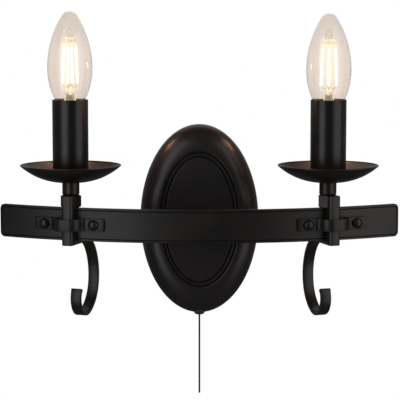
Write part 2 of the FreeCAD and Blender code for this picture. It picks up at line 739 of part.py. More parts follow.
def make_switch():
    body = new_body("switch")
    sketch = new_sketch(body, "switch_outline", "XY_Plane")
    wide = "switch_width / 2"
    deep = "switch_depth / 2"
    draw(sketch, [(f"-{wide}", f"-{deep}"), (wide, f"-{deep}"), (wide, deep), (f"-{wide}", deep)])
    pad(body, sketch, "switch_height")
    neck = new_sketch(body, "switch_neck", "XZ_Plane")
    draw(neck, [("0", "-switch_neck_length"), ("switch_neck_radius", "-switch_neck_length"),
                ("switch_neck_radius", "switch_floor"), ("0", "switch_floor")])
    revolve(body, neck)
    bore = new_sketch(body, "switch_bore", "XZ_Plane")
    floor = "switch_floor - switch_neck_length"
    ceiling = f"{floor} + plunger_travel + plunger_height + 2 * plunger_gap"
    mouth = "-switch_neck_length - switch_floor"
    draw(bore, [("0", mouth), ("cord_hole", mouth),
                ("cord_hole", floor), ("plunger_bore", floor), ("plunger_bore", ceiling), ("0", ceiling)])
    revolve(body, bore, "Groove")
    stand = -value("switch_standoff")
    body.Placement = place(0, stand, value("switch_bottom"))
    keep(body, "pull_switch")

    neck_end = "(bush_top - switch_bottom + switch_neck_length + fit_gap)"
    socket = "switch_neck_radius + bush_gap"
    bush = turned("bush", [
        (socket, "0"), ("bush_radius", "0"), ("bush_radius", "bush_length - bush_bevel"),
        ("bush_radius - bush_bevel", "bush_length"), ("cord_hole", "bush_length"), ("cord_hole", neck_end),
        (socket, neck_end)])
    bush.Placement = place(0, stand, value("bush_top"), DOWNWARD)
    keep(bush, "cord_outlet_bush")

    rest = f"switch_bottom + {floor} + plunger_gap + plunger_travel"
    plunger = turned("plunger", [("0", "0"), ("plunger_radius", "0"),
                                 ("plunger_radius", "plunger_height"), ("0", "plunger_height")])
    plunger.Placement = place(0, stand, value(rest))
    keep(plunger, "pull_plunger")
    cord = cylinder("cord", "cord_radius", f"{rest} - cord_end")
    cord.Placement = place(0, stand, value("cord_end"))
    keep(cord, "pull_cord")


# ---------------------------------------------------------------- arms

# The scroll after its straight foot: tangent bends (radius, turn in degrees).
SCROLL_BENDS = ((21.5, -54.0), (37.5, -47.0), (28.0, -58.5), (13.5, -139.0))
# How far each hexagon was turned when it was tightened; at 0 two corners point sideways.
NUT_TURN = {"left": 0.0, "right": 30.0}
BAND_TOP = "(band_rise + band_height / 2)"
FOOT_TOP = "(band_rise - band_height / 2)"


def make_arm(name, side):
    """Forged bar drawn down into a strap; local -Y leaves the band towards the room."""
    body = new_body("arm_" + name)
    profile = new_sketch(body, f"arm_{name}_profile", "YZ_Plane")
    back = -value("band_thickness")
    front = back - value("arm_depth")
    top = value("arm_top")
    foot_top = value(FOOT_TOP)
    foot_low = value(f"{FOOT_TOP} - strap_thickness")
    half = value("strap_thickness / 2")
    bend_start = value("foot_back")
    bends = chain(vector(bend_start, foot_top - half), 0, SCROLL_BENDS)
    outer = beside(bends, half)
    inner = beside(bends, -half)
    add_loop(profile, [
        line(vector(bend_start, foot_top), vector(back, foot_top)),
        line(vector(back, foot_top), vector(back, top)),
        line(vector(back, top), vector(front, top)),
        line(vector(front, top), vector(front, foot_low)),
        line(vector(front, foot_low), vector(bend_start, foot_low)),
        line(outer[-1].EndPoint, inner[-1].EndPoint)] + outer + inner)
    bar = pad(body, profile, "arm_width", symmetric=True)
    doc.recompute()
    corners = []
    for i, edge in enumerate(bar.Shape.Edges, start=1):
        box = edge.BoundBox
        if box.ZLength > top - foot_low - TINY and abs(box.YMax - front) < TINY:
            corners.append(f"Edge{i}")
    bevel = body.newObject("PartDesign::Chamfer", f"arm_{name}_bevel")
    bevel.Base = (bar, corners)
    bevel.setExpression("Size", linked("arm_bevel"))
    taper = new_sketch(body, f"arm_{name}_taper", "XZ_Plane")
    start = f"{FOOT_TOP} - strap_thickness"
    low = f"{FOOT_TOP} - scroll_drop"
    for way in ("", "-"):
        edge = f"{way}scroll_width / 2"
        clear = f"{way}arm_width"
        draw(taper, [(f"{way}arm_width / 2", start), (edge, f"{FOOT_TOP} - taper_end"), (edge, low),
                     (clear, low), (clear, start)])
    cope = pocket(body, taper, "2 * scroll_drop")
    cope.SideType = "Symmetric"
    seat = new_sketch(body, f"arm_{name}_nut_seat", "XY_Plane", BAND_TOP)
    turn = NUT_TURN[name] - side * value("arm_angle")
    draw_hexagon(seat, "lock_nut_flats", f"{turn}", "-arm_offset")
    pocket(body, seat, "arm_top", away=True)
    body.Placement = on_arm(side, 0).multiply(place(value("arm_offset"), 0, 0))
    keep(body, "arm_scroll_" + name)


def make_clip(name, side):
    """Strap bent over the arm bar in two S bends; its ears lie on the band."""
    body = new_body("clip_" + name)
    sketch = new_sketch(body, f"clip_{name}_profile", "XY_Plane")
    thick = value("clip_thickness")
    band_radius = value("band_radius")
    axis = vector(0, value("band_radius - band_thickness"))
    under = -value("band_thickness + arm_depth + clip_lift")
    upper = value("clip_bend")
    toe = value("clip_toe_bend")
    first = vector(value("clip_flat"), under + upper)
    # the lower bend touches the upper bend and the band
    reach = first - axis
    far = band_radius + toe
    along = (reach.Length ** 2 + far ** 2 - (upper + toe) ** 2) / (2 * reach.Length)
    across = math.sqrt(far ** 2 - along ** 2)
    out = FreeCAD.Vector(reach).normalize()
    second = axis + out * along + FreeCAD.Vector(-out.y, out.x, 0) * across
    if second.x < first.x:
        second = axis + out * along - FreeCAD.Vector(-out.y, out.x, 0) * across
    between = (second - first).normalize()
    landing = (axis - second).normalize()
    tip_angle = value("clip_half_length / band_radius")

    def face(lift):
        """One side of the strap from the middle to the ear's end, lift above the band."""
        top = vector(first.x, first.y - upper - lift)
        join = first + between * (upper + lift)
        lower = toe - lift
        touch = second + landing * lower
        tip = axis + vector(math.sin(tip_angle), -math.cos(tip_angle)) * (band_radius + lift)
        middles = (first + (vector(0, -1) + between).normalize() * (upper + lift),
                   second + (landing - between).normalize() * lower,
                   axis + ((touch - axis) + (tip - axis)).normalize() * (band_radius + lift))
        return [(top, middles[0], join), (join, middles[1], touch), (touch, middles[2], tip)]

    edges = []
    for way in (1, -1):
        ends = []
        for lift in (0, thick):
            run = [[vector(way * p.x, p.y) for p in spots] for spots in face(lift)]
            edges += [Part.Arc(*spots) for spots in run]
            ends.append(run[-1][-1])
        edges.append(line(*ends))
    for lift in (0, thick):
        flat = under - lift
        edges.append(line(vector(-first.x, flat), vector(first.x, flat)))
    add_loop(sketch, edges)
    pad(body, sketch, "clip_height", symmetric=True)
    for number, along in enumerate(BOLT_PLACES):
        hole = body.newObject("PartDesign::SubtractiveCylinder", f"clip_{name}_hole_{number}")
        hole.setExpression("Radius", linked("small_bore"))
        hole.setExpression("Height", linked(f"clip_thickness + 2 * {RUN_OUT}"))
        turn = value(f"{along} / band_radius")
        spot = axis + vector(math.sin(turn), -math.cos(turn)) * (band_radius - RUN_OUT)
        hole.Placement = place(spot.x, spot.y, 0, spin(math.degrees(turn)).multiply(OUTWARD))
    body.Placement = behind_band(clip_angle(side), value("band_rise"))
    keep(body, "saddle_clip_" + name)


def make_clip_fixings(name, side):
    bolts = []
    nuts = []
    height = value("band_rise")
    end = "-(clip_thickness + band_thickness + clip_nut_height + bolt_tip)"
    head = "bolt_head_radius"
    rise = "(bolt_head_height - bolt_head_edge)"
    dome = f"({head} ^ 2 + {rise} ^ 2) / (2 * {rise})"
    for number, along in enumerate(BOLT_PLACES):
        angle = clip_angle(side, along)
        bolt = turned(f"bolt_{name}_{number}", [
            ("0", end), ("bolt_radius", end), ("bolt_radius", "0"), (head, "0"),
            (head, "bolt_head_edge", dome, 1), ("0", "bolt_head_height")])
        bolt.Placement = on_band(value("band_radius + clip_thickness"), angle, height)
        bolts.append(bolt)
        nut = hex_nut(f"nut_{name}_{number}", "clip_nut_flats", "clip_nut_height", "small_bore")
        seat = value("band_radius - band_thickness - clip_nut_height - clip_nut_gap")
        nut.Placement = on_band(seat, angle, height)
        nuts.append(nut)
    keep(group("bolts_" + name, bolts), "clip_bolts_" + name)
    keep(group("nuts_" + name, nuts), "clip_nuts_" + name)


# ---------------------------------------------------------------- candles

STEM_BOTTOM = "arm_top"
PAN_BOTTOM = "(arm_top + stem_height)"
# How much further down than drawn each lampholder is screwed, with its bulb.
HOLDER_DROP = {"left": "0", "right": "holder_drop"}


def make_stem(name, side):
    nut = hex_nut("coupling_" + name, "lock_nut_flats", f"arm_top - {BAND_TOP}", "nipple_hole")
    nut.Placement = on_arm(side, value(BAND_TOP), NUT_TURN[name] - side * value("arm_angle"))
    keep(nut, "hex_nut_" + name)

    low = f"({BAND_TOP} + nipple_sink)"
    length = f"holder_bottom + thread_depth - {low}"
    nipple = turned("threaded_tube_" + name, [
        ("nipple_bore", "0"), ("nipple_radius", "0"), ("nipple_radius", length), ("nipple_bore", length)])
    nipple.Placement = on_arm(side, value(low))
    keep(nipple, "nipple_" + name)

    stem = turned("column_" + name, [
        ("nipple_hole", "0"), ("stem_radius - stem_bevel", "0"), ("stem_radius", "stem_bevel"),
        ("stem_radius", "stem_height"), ("nipple_hole", "stem_height")])
    stem.Placement = on_arm(side, value(STEM_BOTTOM))
    keep(stem, "stem_" + name)


def make_pan(name, side):
    bowl_top = "pan_depth - pan_lip"
    pan = turned("pan_" + name, [
        ("nipple_hole", "0"), ("pan_seat", "0", "pan_curve", 1), ("pan_radius", bowl_top),
        ("pan_radius", "pan_depth"), ("pan_radius - pan_wall", "pan_depth"),
        ("pan_radius - pan_wall", f"{bowl_top} + pan_step", "pan_curve - pan_wall", -1),
        ("pan_seat", "pan_wall"), ("nipple_hole", "pan_wall")])
    pan.Placement = on_arm(side, value(PAN_BOTTOM))
    keep(pan, "drip_pan_" + name)

    nut = hex_nut("clamp_nut_" + name, "lock_nut_flats", "lock_nut_height", "nipple_hole")
    nut.Placement = on_arm(side, value(f"{PAN_BOTTOM} + pan_wall"))
    keep(nut, "pan_nut_" + name)


def make_tube(name, side):
    length = f"tube_top - ({PAN_BOTTOM} + tube_foot)"
    tube = turned("sleeve_" + name, [
        ("tube_radius - tube_wall", "0"), ("tube_radius", "0"), ("tube_radius", f"{length} - tube_bevel"),
        ("tube_radius - tube_bevel", length), ("tube_radius - tube_wall", length)])
    tube.Placement = on_arm(side, value(f"{PAN_BOTTOM} + tube_foot"))
    keep(tube, "candle_tube_" + name)


def make_lampholder(name, side):
    base = on_arm(side, value(f"holder_bottom - {HOLDER_DROP[name]}"))
    deep = "(cap_bottom - holder_bottom - contact_height - fit_gap)"
    socket = "shell_radius + fit_gap"
    thread_end = "thread_depth + thread_room"
    holder = turned("holder_" + name, [
        ("nipple_hole", "0"), ("holder_foot", "0"), ("holder_radius", "holder_cone"),
        ("holder_radius", "holder_height"), (socket, "holder_height"), (socket, deep),
        ("holder_channel", deep), ("holder_channel", thread_end), ("nipple_hole", thread_end)])
    holder.Placement = base
    keep(holder, "lampholder_" + name)

    inside = "shell_radius - shell_wall"
    low = f"{deep} + shell_lift"
    high = "holder_height - shell_edge"
    shell = turned("screw_shell_" + name, [
        (inside, low), ("shell_radius", low), ("shell_radius", high), (inside, high)])
    shell.Placement = base
    keep(shell, "lampholder_shell_" + name)

    tip = f"{deep} + contact_height"
    contact = turned("contact_" + name, [
        ("0", deep), ("contact_radius", deep), ("contact_radius", f"{deep} + contact_plate"),
        ("contact_radius / 2", tip), ("0", tip)])
    contact.Placement = base
    keep(contact, "centre_contact_" + name)


def make_bulb(name, side):
    base = on_arm(side, -value(HOLDER_DROP[name]))
    cap = turned("lamp_cap_" + name, [
        ("0", "cap_bottom"), ("cap_tip_radius", "cap_bottom"),
        ("cap_tip_radius", "cap_bottom + cap_tip_height"),
        ("cap_waist", "cap_bottom + cap_thread_start - cap_tip_height"),
        ("cap_radius", "cap_bottom + cap_thread_start"),
        ("cap_radius", "cap_top - cap_flare"), ("cap_skirt_radius", "cap_top - cap_skirt"),
        ("cap_skirt_radius", "cap_top"), ("0", "cap_top")])
    cap.Placement = base
    keep(cap, "bulb_cap_" + name)

    glass = new_body("glass_" + name)
    sketch = new_sketch(glass, f"glass_{name}_outline", "XZ_Plane")
    widest = vector(value("bulb_radius"), value("bulb_widest"))
    turn = value("bulb_upper_turn")
    wall = value("bulb_wall")
    upper = chain(widest, 90, [(value("bulb_upper_curve"), turn), (value("bulb_tip_curve"), 90 - turn)])
    lower_radius = value("bulb_lower_curve")
    drop = value("bulb_widest - cap_top - bulb_neck")
    lower_turn = math.degrees(math.asin(drop / lower_radius))
    lower = chain(widest, -90, [(lower_radius, -lower_turn)])
    outside = beside(lower, 0)
    inside = beside(lower, -wall)
    neck = vector(value("cap_skirt_radius"), value("cap_top"))
    inner_neck = vector(neck.x - wall, neck.y)
    upper_outside = beside(upper, 0)
    upper_inside = beside(upper, wall)
    add_loop(sketch, outside + inside + upper_outside + upper_inside + [
        line(outside[-1].EndPoint, neck), line(neck, inner_neck), line(inner_neck, inside[-1].EndPoint),
        line(upper_inside[-1].EndPoint, upper_outside[-1].EndPoint)])
    revolve(glass, sketch)
    glass.Placement = base
    keep(glass, "bulb_glass_" + name)

    foot = turned("glass_foot_" + name, [
        ("0", "cap_top"), ("foot_radius", "cap_top"), ("foot_waist", "cap_top + bulb_neck"),
        ("stalk_radius", "cap_top + stalk_start"),
        ("stalk_radius", "filament_bottom - stalk_radius / 2"), ("post_radius", "filament_bottom"),
        ("post_radius", "filament_top + post_rise"), ("0", "filament_top + post_rise")])
    foot.Placement = base
    keep(foot, "bulb_stem_" + name)

    sticks = []
    rise = "(filament_top - filament_bottom)"
    lean = "(filament_spread - filament_gather)"
    tilt = FreeCAD.Rotation(FreeCAD.Vector(0, 1, 0), -math.degrees(math.atan2(value(lean), value(rise))))
    for quarter in range(4):
        stick = cylinder(f"stick_{name}_{quarter}", "filament_radius", f"sqrt({rise} ^ 2 + {lean} ^ 2)")
        around = spin(90 * quarter + 45)
        spot = around.multVec(vector(value("filament_spread"), 0))
        local = FreeCAD.Placement(spot + FreeCAD.Vector(0, 0, value("filament_bottom")),
                                  around.multiply(tilt))
        stick.Placement = local
        sticks.append(stick)
    bundle = group("sticks_" + name, sticks)
    bundle.Placement = base
    keep(bundle, "bulb_filaments_" + name)


# ---------------------------------------------------------------- assembly

make_backplate()
make_wall_bracket()
make_plate_fixings()
make_band()
make_boss()
make_terminals()
keep(make_pan_screw("earth", "0", EARTH_HEIGHT, "bracket_thickness", "stud_radius", "bracket_thickness"),
     "earth_screw")
keep(make_pan_screw("block_fixing", *BLOCK_FIXING, "bracket_thickness + block_depth", "fine_screw",
                    "(block_depth + bracket_thickness)"), "terminal_fixing_screw")
make_switch()
for arm_name, arm_side in SIDES:
    make_arm(arm_name, arm_side)
    make_clip(arm_name, arm_side)
    make_clip_fixings(arm_name, arm_side)
    make_stem(arm_name, arm_side)
    make_pan(arm_name, arm_side)
    make_tube(arm_name, arm_side)
    make_lampholder(arm_name, arm_side)
    make_bulb(arm_name, arm_side)

doc.recompute()

for obj in doc.Objects:
    if "Invalid" in obj.State or "Error" in obj.State:
        raise RuntimeError(f"{obj.Name} did not build: {obj.State}")
os.makedirs("parts", exist_ok=True)
for part in parts:
    if part.Shape.isNull() or not part.Shape.isValid() or not part.Shape.Solids:
        raise RuntimeError(f"{part.Label} has no valid solid")
    part.Shape.exportStep(f"parts/{part.Label}.step")
    print(f"{part.Label:26s} {len(part.Shape.Solids)} solid(s) {part.Shape.Volume:10.1f} mm3")
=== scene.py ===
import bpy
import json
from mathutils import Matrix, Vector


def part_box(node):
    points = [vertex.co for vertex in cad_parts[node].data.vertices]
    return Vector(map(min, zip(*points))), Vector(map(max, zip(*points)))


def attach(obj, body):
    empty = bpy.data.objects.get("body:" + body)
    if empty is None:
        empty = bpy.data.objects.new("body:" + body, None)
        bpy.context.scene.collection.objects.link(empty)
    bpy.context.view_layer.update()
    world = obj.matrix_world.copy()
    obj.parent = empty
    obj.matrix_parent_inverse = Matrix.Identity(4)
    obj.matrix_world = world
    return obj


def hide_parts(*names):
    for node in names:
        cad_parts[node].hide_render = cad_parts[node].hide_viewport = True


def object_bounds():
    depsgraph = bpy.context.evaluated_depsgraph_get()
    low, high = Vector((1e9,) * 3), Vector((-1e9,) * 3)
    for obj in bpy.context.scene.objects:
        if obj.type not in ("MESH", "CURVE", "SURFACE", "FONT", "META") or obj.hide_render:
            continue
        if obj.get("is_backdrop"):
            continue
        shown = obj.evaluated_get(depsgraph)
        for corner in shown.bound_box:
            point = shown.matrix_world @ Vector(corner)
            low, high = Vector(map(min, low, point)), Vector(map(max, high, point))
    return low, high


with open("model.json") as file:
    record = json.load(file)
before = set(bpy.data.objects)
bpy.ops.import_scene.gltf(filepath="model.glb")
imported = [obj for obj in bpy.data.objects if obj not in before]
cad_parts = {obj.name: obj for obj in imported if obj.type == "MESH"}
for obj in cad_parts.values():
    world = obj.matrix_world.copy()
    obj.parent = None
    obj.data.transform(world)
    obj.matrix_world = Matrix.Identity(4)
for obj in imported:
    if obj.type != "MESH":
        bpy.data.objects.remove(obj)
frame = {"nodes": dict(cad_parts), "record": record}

"""Looks of a double arm wall sconce, built round its CAD model.

Lengths are metres in the CAD model's frame: X to the right, Y into the wall, Z up. An arm's own
frame has its origin on the candle axis and -Y leaving the curved band squarely.
"""
import json
import logging
import math
from dataclasses import dataclass, field, replace
from enum import Enum
from typing import Callable, Dict, Iterable, List, NamedTuple, Optional, Sequence, Tuple, Union

import bmesh
import bpy
from mathutils import Matrix, Vector

LOG = logging.getLogger("sconce")
MM = 0.001
WELD = 0.002 * MM  # corners nearer than this become one
NEAR = 0.1 * MM  # how far from a plane a corner still counts as on it
LAMP_BODY = "lamp"
PULL_BODY = "pull"
Colour = Tuple[float, float, float]
Point = Sequence[float]
Outline = List[Tuple[float, float]]  # radius and height
Spots = Tuple[Tuple[float, float], ...]
Corners = Sequence[Tuple[float, float, float]]  # radius, height and length of the rounding
Stops = Sequence[Tuple[float, Colour]]
Object = bpy.types.Object


class Side(Enum):
    """Which arm of the sconce, seen from the room; the value is its sign along X."""

    LEFT = -1
    RIGHT = 1

    @property
    def word(self) -> str:
        """The side as node names spell it."""
        return self.name.lower()


class Grain(Enum):
    """Direction of the faint marks that rolling, drawing or spinning leaves under the paint."""

    NONE = (1.0, 1.0, 1.0)
    ALONG_X = (0.06, 1.0, 1.0)
    ALONG_Z = (1.0, 1.0, 0.06)
    RINGS = (1.0, 0.02, 0.4)


class Pick(Enum):
    """Kind of mesh element that a selection takes."""

    CORNER = "VERT"
    EDGE = "EDGE"
    FACE = "FACE"


class Shade(Enum):
    """Angle under which neighbouring faces are shaded as one, in degrees."""

    FLATS = 25.0
    FORGED = 28.0
    TIES = 30.0
    PLAIN = 32.0
    TURNED = 40.0
    DOMED = 50.0
    BLOWN = 60.0


# ---------------------------------------------------------------- shader wiring

class Signal:
    """A socket's value in shader arithmetic; each operator adds a Math node."""

    def __init__(self, tree: "Tree", socket: bpy.types.NodeSocket) -> None:
        """Keeps the socket and the tree that it belongs to."""
        self.tree = tree
        self.socket = socket

    def math(self, operation: str, first: "Value", second: "Value" = 0.0) -> "Signal":
        """One Math node's result."""
        return self.tree.add("ShaderNodeMath", {"operation": operation}, {0: first, 1: second})

    def __add__(self, other: "Value") -> "Signal":
        """Sum."""
        return self.math("ADD", self, other)

    def __sub__(self, other: "Value") -> "Signal":
        """Difference."""
        return self.math("SUBTRACT", self, other)

    def __rsub__(self, other: "Value") -> "Signal":
        """Difference with a plain number first."""
        return self.math("SUBTRACT", other, self)

    def __mul__(self, other: "Value") -> "Signal":
        """Product."""
        return self.math("MULTIPLY", self, other)

    def __pow__(self, other: "Value") -> "Signal":
        """Power."""
        return self.math("POWER", self, other)

    __radd__ = __add__
    __rmul__ = __mul__

    def sine(self) -> "Signal":
        """Sine of the value in radians."""
        return self.math("SINE", self)

    def larger(self, other: "Value") -> "Signal":
        """The larger of the two."""
        return self.math("MAXIMUM", self, other)

    def between(self, low: float, high: float) -> "Signal":
        """Share of the way from low to high, kept within 0 and 1."""
        return self.tree.add("ShaderNodeMapRange", {"clamp": True},
                             {"Value": self, "From Min": low, "From Max": high})


Value = Union[Signal, float, Sequence[float]]


class Tree:
    """Node tree of one material or of the world."""

    def __init__(self, owner: Union[bpy.types.Material, bpy.types.World]) -> None:
        """Empties the owner's tree.

        Args:
            owner: the material or world whose nodes are built.
        """
        owner.use_nodes = True
        self.nodes = owner.node_tree.nodes
        self.links = owner.node_tree.links
        self.nodes.clear()

    def add(self, kind: str, settings: Optional[dict] = None, inputs: Optional[dict] = None,
            output: Union[int, str] = 0) -> Signal:
        """Adds a node.

        Args:
            kind: the node's type.
            settings: its properties, with a colour ramp's stops under "stops".
            inputs: values or links of its sockets.
            output: which of its outputs is returned.

        Returns:
            The chosen output.
        """
        node = self.nodes.new(kind)
        for name, setting in (settings or {}).items():
            if name == "stops":
                for stop, (place, colour) in zip(self._stops(node, len(setting)), setting):
                    stop.position = place
                    stop.color = (*colour, 1.0)
            else:
                setattr(node, name, setting)
        for name, value in (inputs or {}).items():
            if isinstance(value, Signal):
                self.links.new(value.socket, node.inputs[name])
            else:
                node.inputs[name].default_value = value
        return Signal(self, node.outputs[output])

    @staticmethod
    def _stops(node: bpy.types.Node, count: int) -> Iterable[bpy.types.ColorRampElement]:
        """Gives a colour ramp its stops.

        Args:
            node: the ramp.
            count: how many stops it needs.

        Returns:
            The stops.
        """
        while len(node.color_ramp.elements) < count:
            node.color_ramp.elements.new(0.5)
        return node.color_ramp.elements

    def place(self, scale: Point = (1.0, 1.0, 1.0), centre: Point = (0.0, 0.0, 0.0)) -> Signal:
        """Object coordinates, moved so that centre is their zero and then scaled.

        Args:
            scale: stretch of the pattern's coordinates.
            centre: the point that becomes the origin.

        Returns:
            The vector output.
        """
        shift = [-c * s for c, s in zip(centre, scale)]
        return self.add("ShaderNodeMapping", None, {
            "Vector": self.add("ShaderNodeTexCoord", output="Object"),
            "Location": shift, "Scale": list(scale)})

    def parts(self, vector: Signal) -> Dict[str, Signal]:
        """The X, Y and Z of a vector."""
        return {axis: self.add("ShaderNodeSeparateXYZ", None, {"Vector": vector}, axis)
                for axis in "XYZ"}

    def around(self, centre: Tuple[float, float]) -> Tuple[Dict[str, Signal], Signal]:
        """The place measured from an upright axis, and the angle about that axis.

        Args:
            centre: X and Y of the axis.

        Returns:
            X, Y and Z from the axis, and the angle in radians.
        """
        here = self.parts(self.place(centre=(*centre, 0.0)))
        return here, here["X"].math("ARCTAN2", here["Y"], here["X"])

    def rings(self, centre: Tuple[float, float], scale: Point) -> Signal:
        """Coordinates of distance from an upright axis, angle about it and height.

        Args:
            centre: X and Y of the axis.
            scale: stretch of the distance, the angle and the height.

        Returns:
            The vector output.
        """
        here, turn = self.around(centre)
        reach = (here["X"] * here["X"] + here["Y"] * here["Y"]) ** 0.5
        return self.add("ShaderNodeCombineXYZ", None, {
            "X": reach * scale[0], "Y": turn * scale[1], "Z": here["Z"] * scale[2]})

    def noise(self, size: float, where: Optional[Signal] = None, detail: float = 2.0) -> Signal:
        """Noise whose blotches are about size across.

        Args:
            size: width of a blotch, in metres.
            where: coordinates to read, or the piece's own.
            detail: finer octaves.

        Returns:
            A value round 0.5.
        """
        return self.add("ShaderNodeTexNoise", None,
                        {"Vector": where or self.place(), "Scale": 1.0 / size, "Detail": detail})

    def blend(self, share: Value, first: Value, second: Value) -> Signal:
        """Colour that goes from first to second.

        Args:
            share: 0 for the first colour, 1 for the second.
            first: a colour, or a link to one.
            second: another.

        Returns:
            The colour output.
        """
        ends = [end if isinstance(end, Signal) else (*end, 1.0) for end in (first, second)]
        return self.add("ShaderNodeMix", {"data_type": "RGBA"},
                        {0: share, 6: ends[0], 7: ends[1]}, 2)

    def ramp(self, share: Signal, stops: Stops) -> Signal:
        """Colour read from a ramp."""
        return self.add("ShaderNodeValToRGB", {"stops": stops}, {"Fac": share})

    def facing(self, blend: float) -> Signal:
        """How far the surface turns away from the eye."""
        return self.add("ShaderNodeLayerWeight", None, {"Blend": blend}, "Facing")

    def rays(self) -> Tuple[Signal, Signal]:
        """Masks by the kind of ray.

        Returns:
            The mask of rays that see directly or through glass, and that of mirrored rays.
        """
        direct, through, mirrored = (
            self.add("ShaderNodeLightPath", output=f"Is {name} Ray")
            for name in ("Camera", "Transmission", "Glossy"))
        return direct.larger(through), mirrored

    def bump(self, height: Signal, depth: float, strength: float = 1.0,
             below: Optional[Signal] = None) -> Signal:
        """Normal of a raised surface.

        Args:
            height: the relief, about 0 to 1.
            depth: how high a relief of 1 stands, in metres.
            strength: share of the bump that shows.
            below: the bump that it lies over, if there is one.

        Returns:
            The normal output.
        """
        inputs = {"Height": height, "Distance": depth, "Strength": strength}
        if below is not None:
            inputs["Normal"] = below
        return self.add("ShaderNodeBump", None, inputs)

    def surface(self, inputs: dict) -> None:
        """Principled shader joined to the material's output."""
        self.finish(self.add("ShaderNodeBsdfPrincipled", None, inputs))

    def finish(self, shader: Signal, kind: str = "ShaderNodeOutputMaterial") -> None:
        """Joins a shader to the output."""
        output = self.nodes.new(kind)
        self.links.new(shader.socket, output.inputs["Surface"])


# ---------------------------------------------------------------- finishes

def mixed(first: Colour, second: Colour, share: float) -> Colour:
    """Colour that lies share of the way from first to second."""
    return tuple(a + (b - a) * share for a, b in zip(first, second))


def darker(colour: Colour, share: float) -> Colour:
    """Colour that lies share of the way to black."""
    return mixed(colour, (0.0, 0.0, 0.0), share)


@dataclass(frozen=True)
class Finish:
    """A named surface finish that can make its material."""

    name: str

    def paint(self, tree: Tree) -> None:
        """Builds the nodes."""
        raise NotImplementedError

    def material(self) -> bpy.types.Material:
        """The finish's material, made on first use.

        Returns:
            The material.
        """
        found = bpy.data.materials.get(self.name)
        if found is None:
            found = bpy.data.materials.new(self.name)
            self.paint(Tree(found))
        return found

    def dress(self, piece: Object) -> None:
        """Gives a piece this finish all over."""
        piece.data.materials.clear()
        piece.data.materials.append(self.material())


@dataclass(frozen=True)
class SatinBlack(Finish):
    """Satin black powder coat with a warm cast, a fine orange-peel skin and the metal's grain."""

    deep: Colour = (0.0058, 0.0055, 0.0055)
    warm: Colour = (0.0170, 0.0115, 0.0090)
    roughness: float = 0.36
    grain: Grain = Grain.NONE
    grain_depth: float = 0.012 * MM
    grain_size: float = 0.7 * MM
    axis: Tuple[float, float] = (0.0, 0.0)
    cloud_size: float = 22 * MM
    cloud_share: float = 0.7
    peel_size: float = 0.55 * MM
    peel_depth: float = 0.009 * MM
    speck_size: float = 1.6 * MM
    wear_size: float = 5 * MM

    def paint(self, tree: Tree) -> None:
        """Broad warm clouds, fine peel, grain and the odd dull speck.

        Args:
            tree: the material's empty tree.
        """
        if self.grain is Grain.RINGS:
            along = tree.rings(self.axis, self.grain.value)
        else:
            along = tree.place(self.grain.value)
        clouds = tree.noise(self.cloud_size, detail=3.0).between(0.42, 0.72)
        brushed = tree.noise(self.grain_size, along, 3.0)
        specks = tree.noise(self.speck_size, detail=1.0).between(0.66, 0.74)
        warmth = clouds * self.cloud_share + brushed * (1 - self.cloud_share)
        wear = 0.08 * tree.noise(self.wear_size) + 0.05 * brushed + 0.05 * specks
        peel = tree.bump(tree.noise(self.peel_size), self.peel_depth)
        tree.surface({
            "Base Color": tree.blend(warmth, self.deep, self.warm),
            "Roughness": self.roughness - 0.05 + wear, "Specular IOR Level": 0.5,
            "Normal": tree.bump(brushed, self.grain_depth, below=peel)})


@dataclass(frozen=True)
class BareMetal(Finish):
    """Plated or bare metal with fine turning marks."""

    colour: Colour = (0.62, 0.62, 0.60)
    shade: Colour = (0.45, 0.45, 0.44)
    roughness: float = 0.28
    stain_size: float = 3 * MM
    scratch_size: float = 0.25 * MM
    scratch_depth: float = 0.004 * MM

    def paint(self, tree: Tree) -> None:
        """Slight stains and fine scratches.

        Args:
            tree: the material's empty tree.
        """
        stain = tree.noise(self.stain_size, detail=4.0).between(0.35, 0.75)
        scratch = tree.noise(self.scratch_size, tree.place((1.0, 1.0, 6.0)))
        tree.surface({
            "Base Color": tree.blend(stain, self.colour, self.shade), "Metallic": 1.0,
            "Roughness": self.roughness + 0.14 * stain,
            "Normal": tree.bump(scratch, self.scratch_depth)})


@dataclass(frozen=True)
class Moulding(Finish):
    """Moulded plastic with a finely sparked surface."""

    colour: Colour = (0.02, 0.02, 0.02)
    roughness: float = 0.5
    spark_size: float = 0.3 * MM
    spark_depth: float = 0.012 * MM
    cloud_size: float = 9 * MM

    def paint(self, tree: Tree) -> None:
        """Spark-eroded grain and a little unevenness.

        Args:
            tree: the material's empty tree.
        """
        spark = tree.noise(self.spark_size, detail=3.0)
        cloud = tree.noise(self.cloud_size).between(0.3, 0.8)
        lighter = tuple(min(1.0, c * 1.25 + 0.004) for c in self.colour)
        tree.surface({
            "Base Color": tree.blend(cloud, self.colour, lighter),
            "Roughness": self.roughness + 0.12 * spark,
            "Normal": tree.bump(spark, self.spark_depth)})


